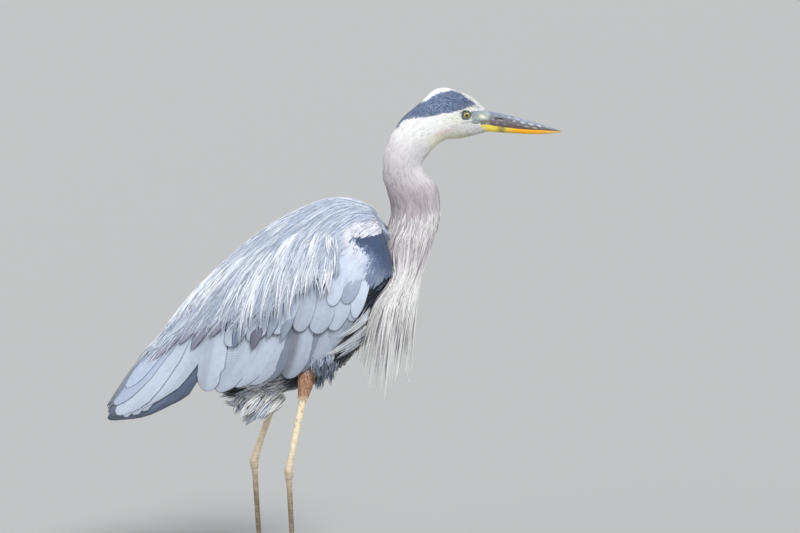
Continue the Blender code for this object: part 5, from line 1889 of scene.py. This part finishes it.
# x, height, half width and depth
ventRows = np.array([
    (-0.070, 0.305, 0.018, 0.016),
    (-0.100, 0.298, 0.026, 0.024),
    (-0.140, 0.298, 0.028, 0.022),
    (-0.185, 0.303, 0.024, 0.015),
    (-0.225, 0.300, 0.014, 0.008),
])


def ventSurface(place, turn):
    x, height, half, deep = axes(smooth(ventRows, place))
    return np.stack([x, half * np.sin(turn), height + deep * np.cos(turn)], -1)


def ventShade(point):
    x = point[..., 0]
    colour = blend(shade["white"], shade["paleBlue"] * 1.1, 0.45 + 0.40 * ripple(point, 0.022))
    return blend(colour, shade["slate"], 0.85 * ease(-x, 0.125, 0.145))


def ventTuftShade(each):
    x = ventPoint[each, 0]
    colour = blend(shade["ventWhite"], shade["paleBlue"] * 1.12, ease(ventPick[each], 0.25, 0.95))
    dark = np.clip(ease(-x, 0.120, 0.140) + (ventPick[each] > 0.96), 0, 1)
    colour = blend(colour, shade["slate"] * 0.9, 0.9 * dark)
    return tintBy(colour, 0.92, 1.0, 1.0, 0.06)


vent = {
    "rows": (0.0, 1.75),
    "turns": (1.1, 2 * math.pi - 1.1),
    "rowGap": 0.0050,
    "gap": 0.0034,
    "length": (0.018, 0.036),
    "lie": (-0.80, 0, -0.45),
    "tufts": 100,
    "strands": 16,
    "heading": (-0.62, 0.0, -0.70),  # the tufts hang lower than the feathers under them
    "stray": 0.09,
}
ventRange = ((0, 4), allRound)
a, b = sow(ventSurface, vent)
look = dict(half=0.0011, root=-0.0050, tip=-0.0020 + 0.0016 * chance.random(len(a)), thick=0.0004, roll=0.35)
tint = shades(ventShade, 0.85, 1.0, 0.10)
length = chance.uniform(*vent["length"], len(a))
coat = layAll(vanes["plume"], ventSurface, a, b, length, look, tint, along(vent["lie"], 0.2), ventRange)
count = vent["tufts"]
a = chance.uniform(0.1, 1.85, count)
b = chance.uniform(1.3, 2 * math.pi - 1.3, count)
ventPoint, ventPick = ventSurface(a, b), chance.random(count)
heading = np.array(vent["heading"]) + chance.normal(0, vent["stray"], (count, 3))
heading[:, 1] += 0.30 * np.sin(b)
length = chance.uniform(*vent["length"], count) * (1 - 0.5 * ease(-ventPoint[:, 0], 0.105, 0.125))
loose = tufts(
    ventSurface, a, b, unit(heading), length, vent["strands"], 0.0034, 0.0007, ventTuftShade, ventRange,
)
joinCoat("ventFeathers", [coat, loose], softLook, "vent_feathers", "vent")

print("floor, lights and camera")
studio = {
    "floor": 60.0,  # half its side
    "target": (0.099, 0.0, 0.484),
    "distance": 9.0,
    "elevation": 10.0,
    "lens": 279.0,
    "sky": 0.68,
    "skyColour": (0.93, 0.96, 1.0, 1),
    "floorColour": (0.30, 0.30, 0.298, 1),
    "lamps": [  # name, where it shines from, strength, width in degrees
        ("keyLight", (0.55, -1.0, 1.30), 2.95, 14),
        ("fillLight", (-1.2, -1.0, 0.7), 0.95, 40),
        ("rimLight", (-0.6, 1.2, 1.2), 1.3, 20),
    ],
}

bm = bmesh.new()
bmesh.ops.create_grid(bm, x_segments=1, y_segments=1, size=studio["floor"])
floorLook, _, _, floorShader = newMaterial("paleFloor", 0.85, 0.2)
floorShader.inputs["Base Color"].default_value = studio["floorColour"]
floor = makeObject("floor", bm, floorLook)

bpy.context.scene.view_settings.view_transform = "Standard"
world = bpy.data.worlds.new("softStudio")
bpy.context.scene.world = world
world.use_nodes = True
sky = world.node_tree.nodes["Background"]
sky.inputs["Color"].default_value = studio["skyColour"]
sky.inputs["Strength"].default_value = studio["sky"]

for name, place, strength, wide in studio["lamps"]:
    lamp = bpy.data.lights.new(name, "SUN")
    lamp.energy = strength
    lamp.angle = math.radians(wide)
    made = bpy.data.objects.new(name, lamp)
    made.rotation_euler = (-Vector(place)).to_track_quat("-Z", "Y").to_euler()
    bpy.context.scene.collection.objects.link(made)

target = Vector(studio["target"])
lift = math.radians(studio["elevation"])
back = Vector((0, -math.cos(lift), math.sin(lift)))
lens = bpy.data.cameras.new("camera")
lens.lens = studio["lens"]
lens.sensor_width = 36
camera = bpy.data.objects.new("camera", lens)
camera.location = target + back * studio["distance"]
camera.rotation_euler = (-back).to_track_quat("-Z", "Y").to_euler()
bpy.context.scene.collection.objects.link(camera)
bpy.context.scene.camera = camera
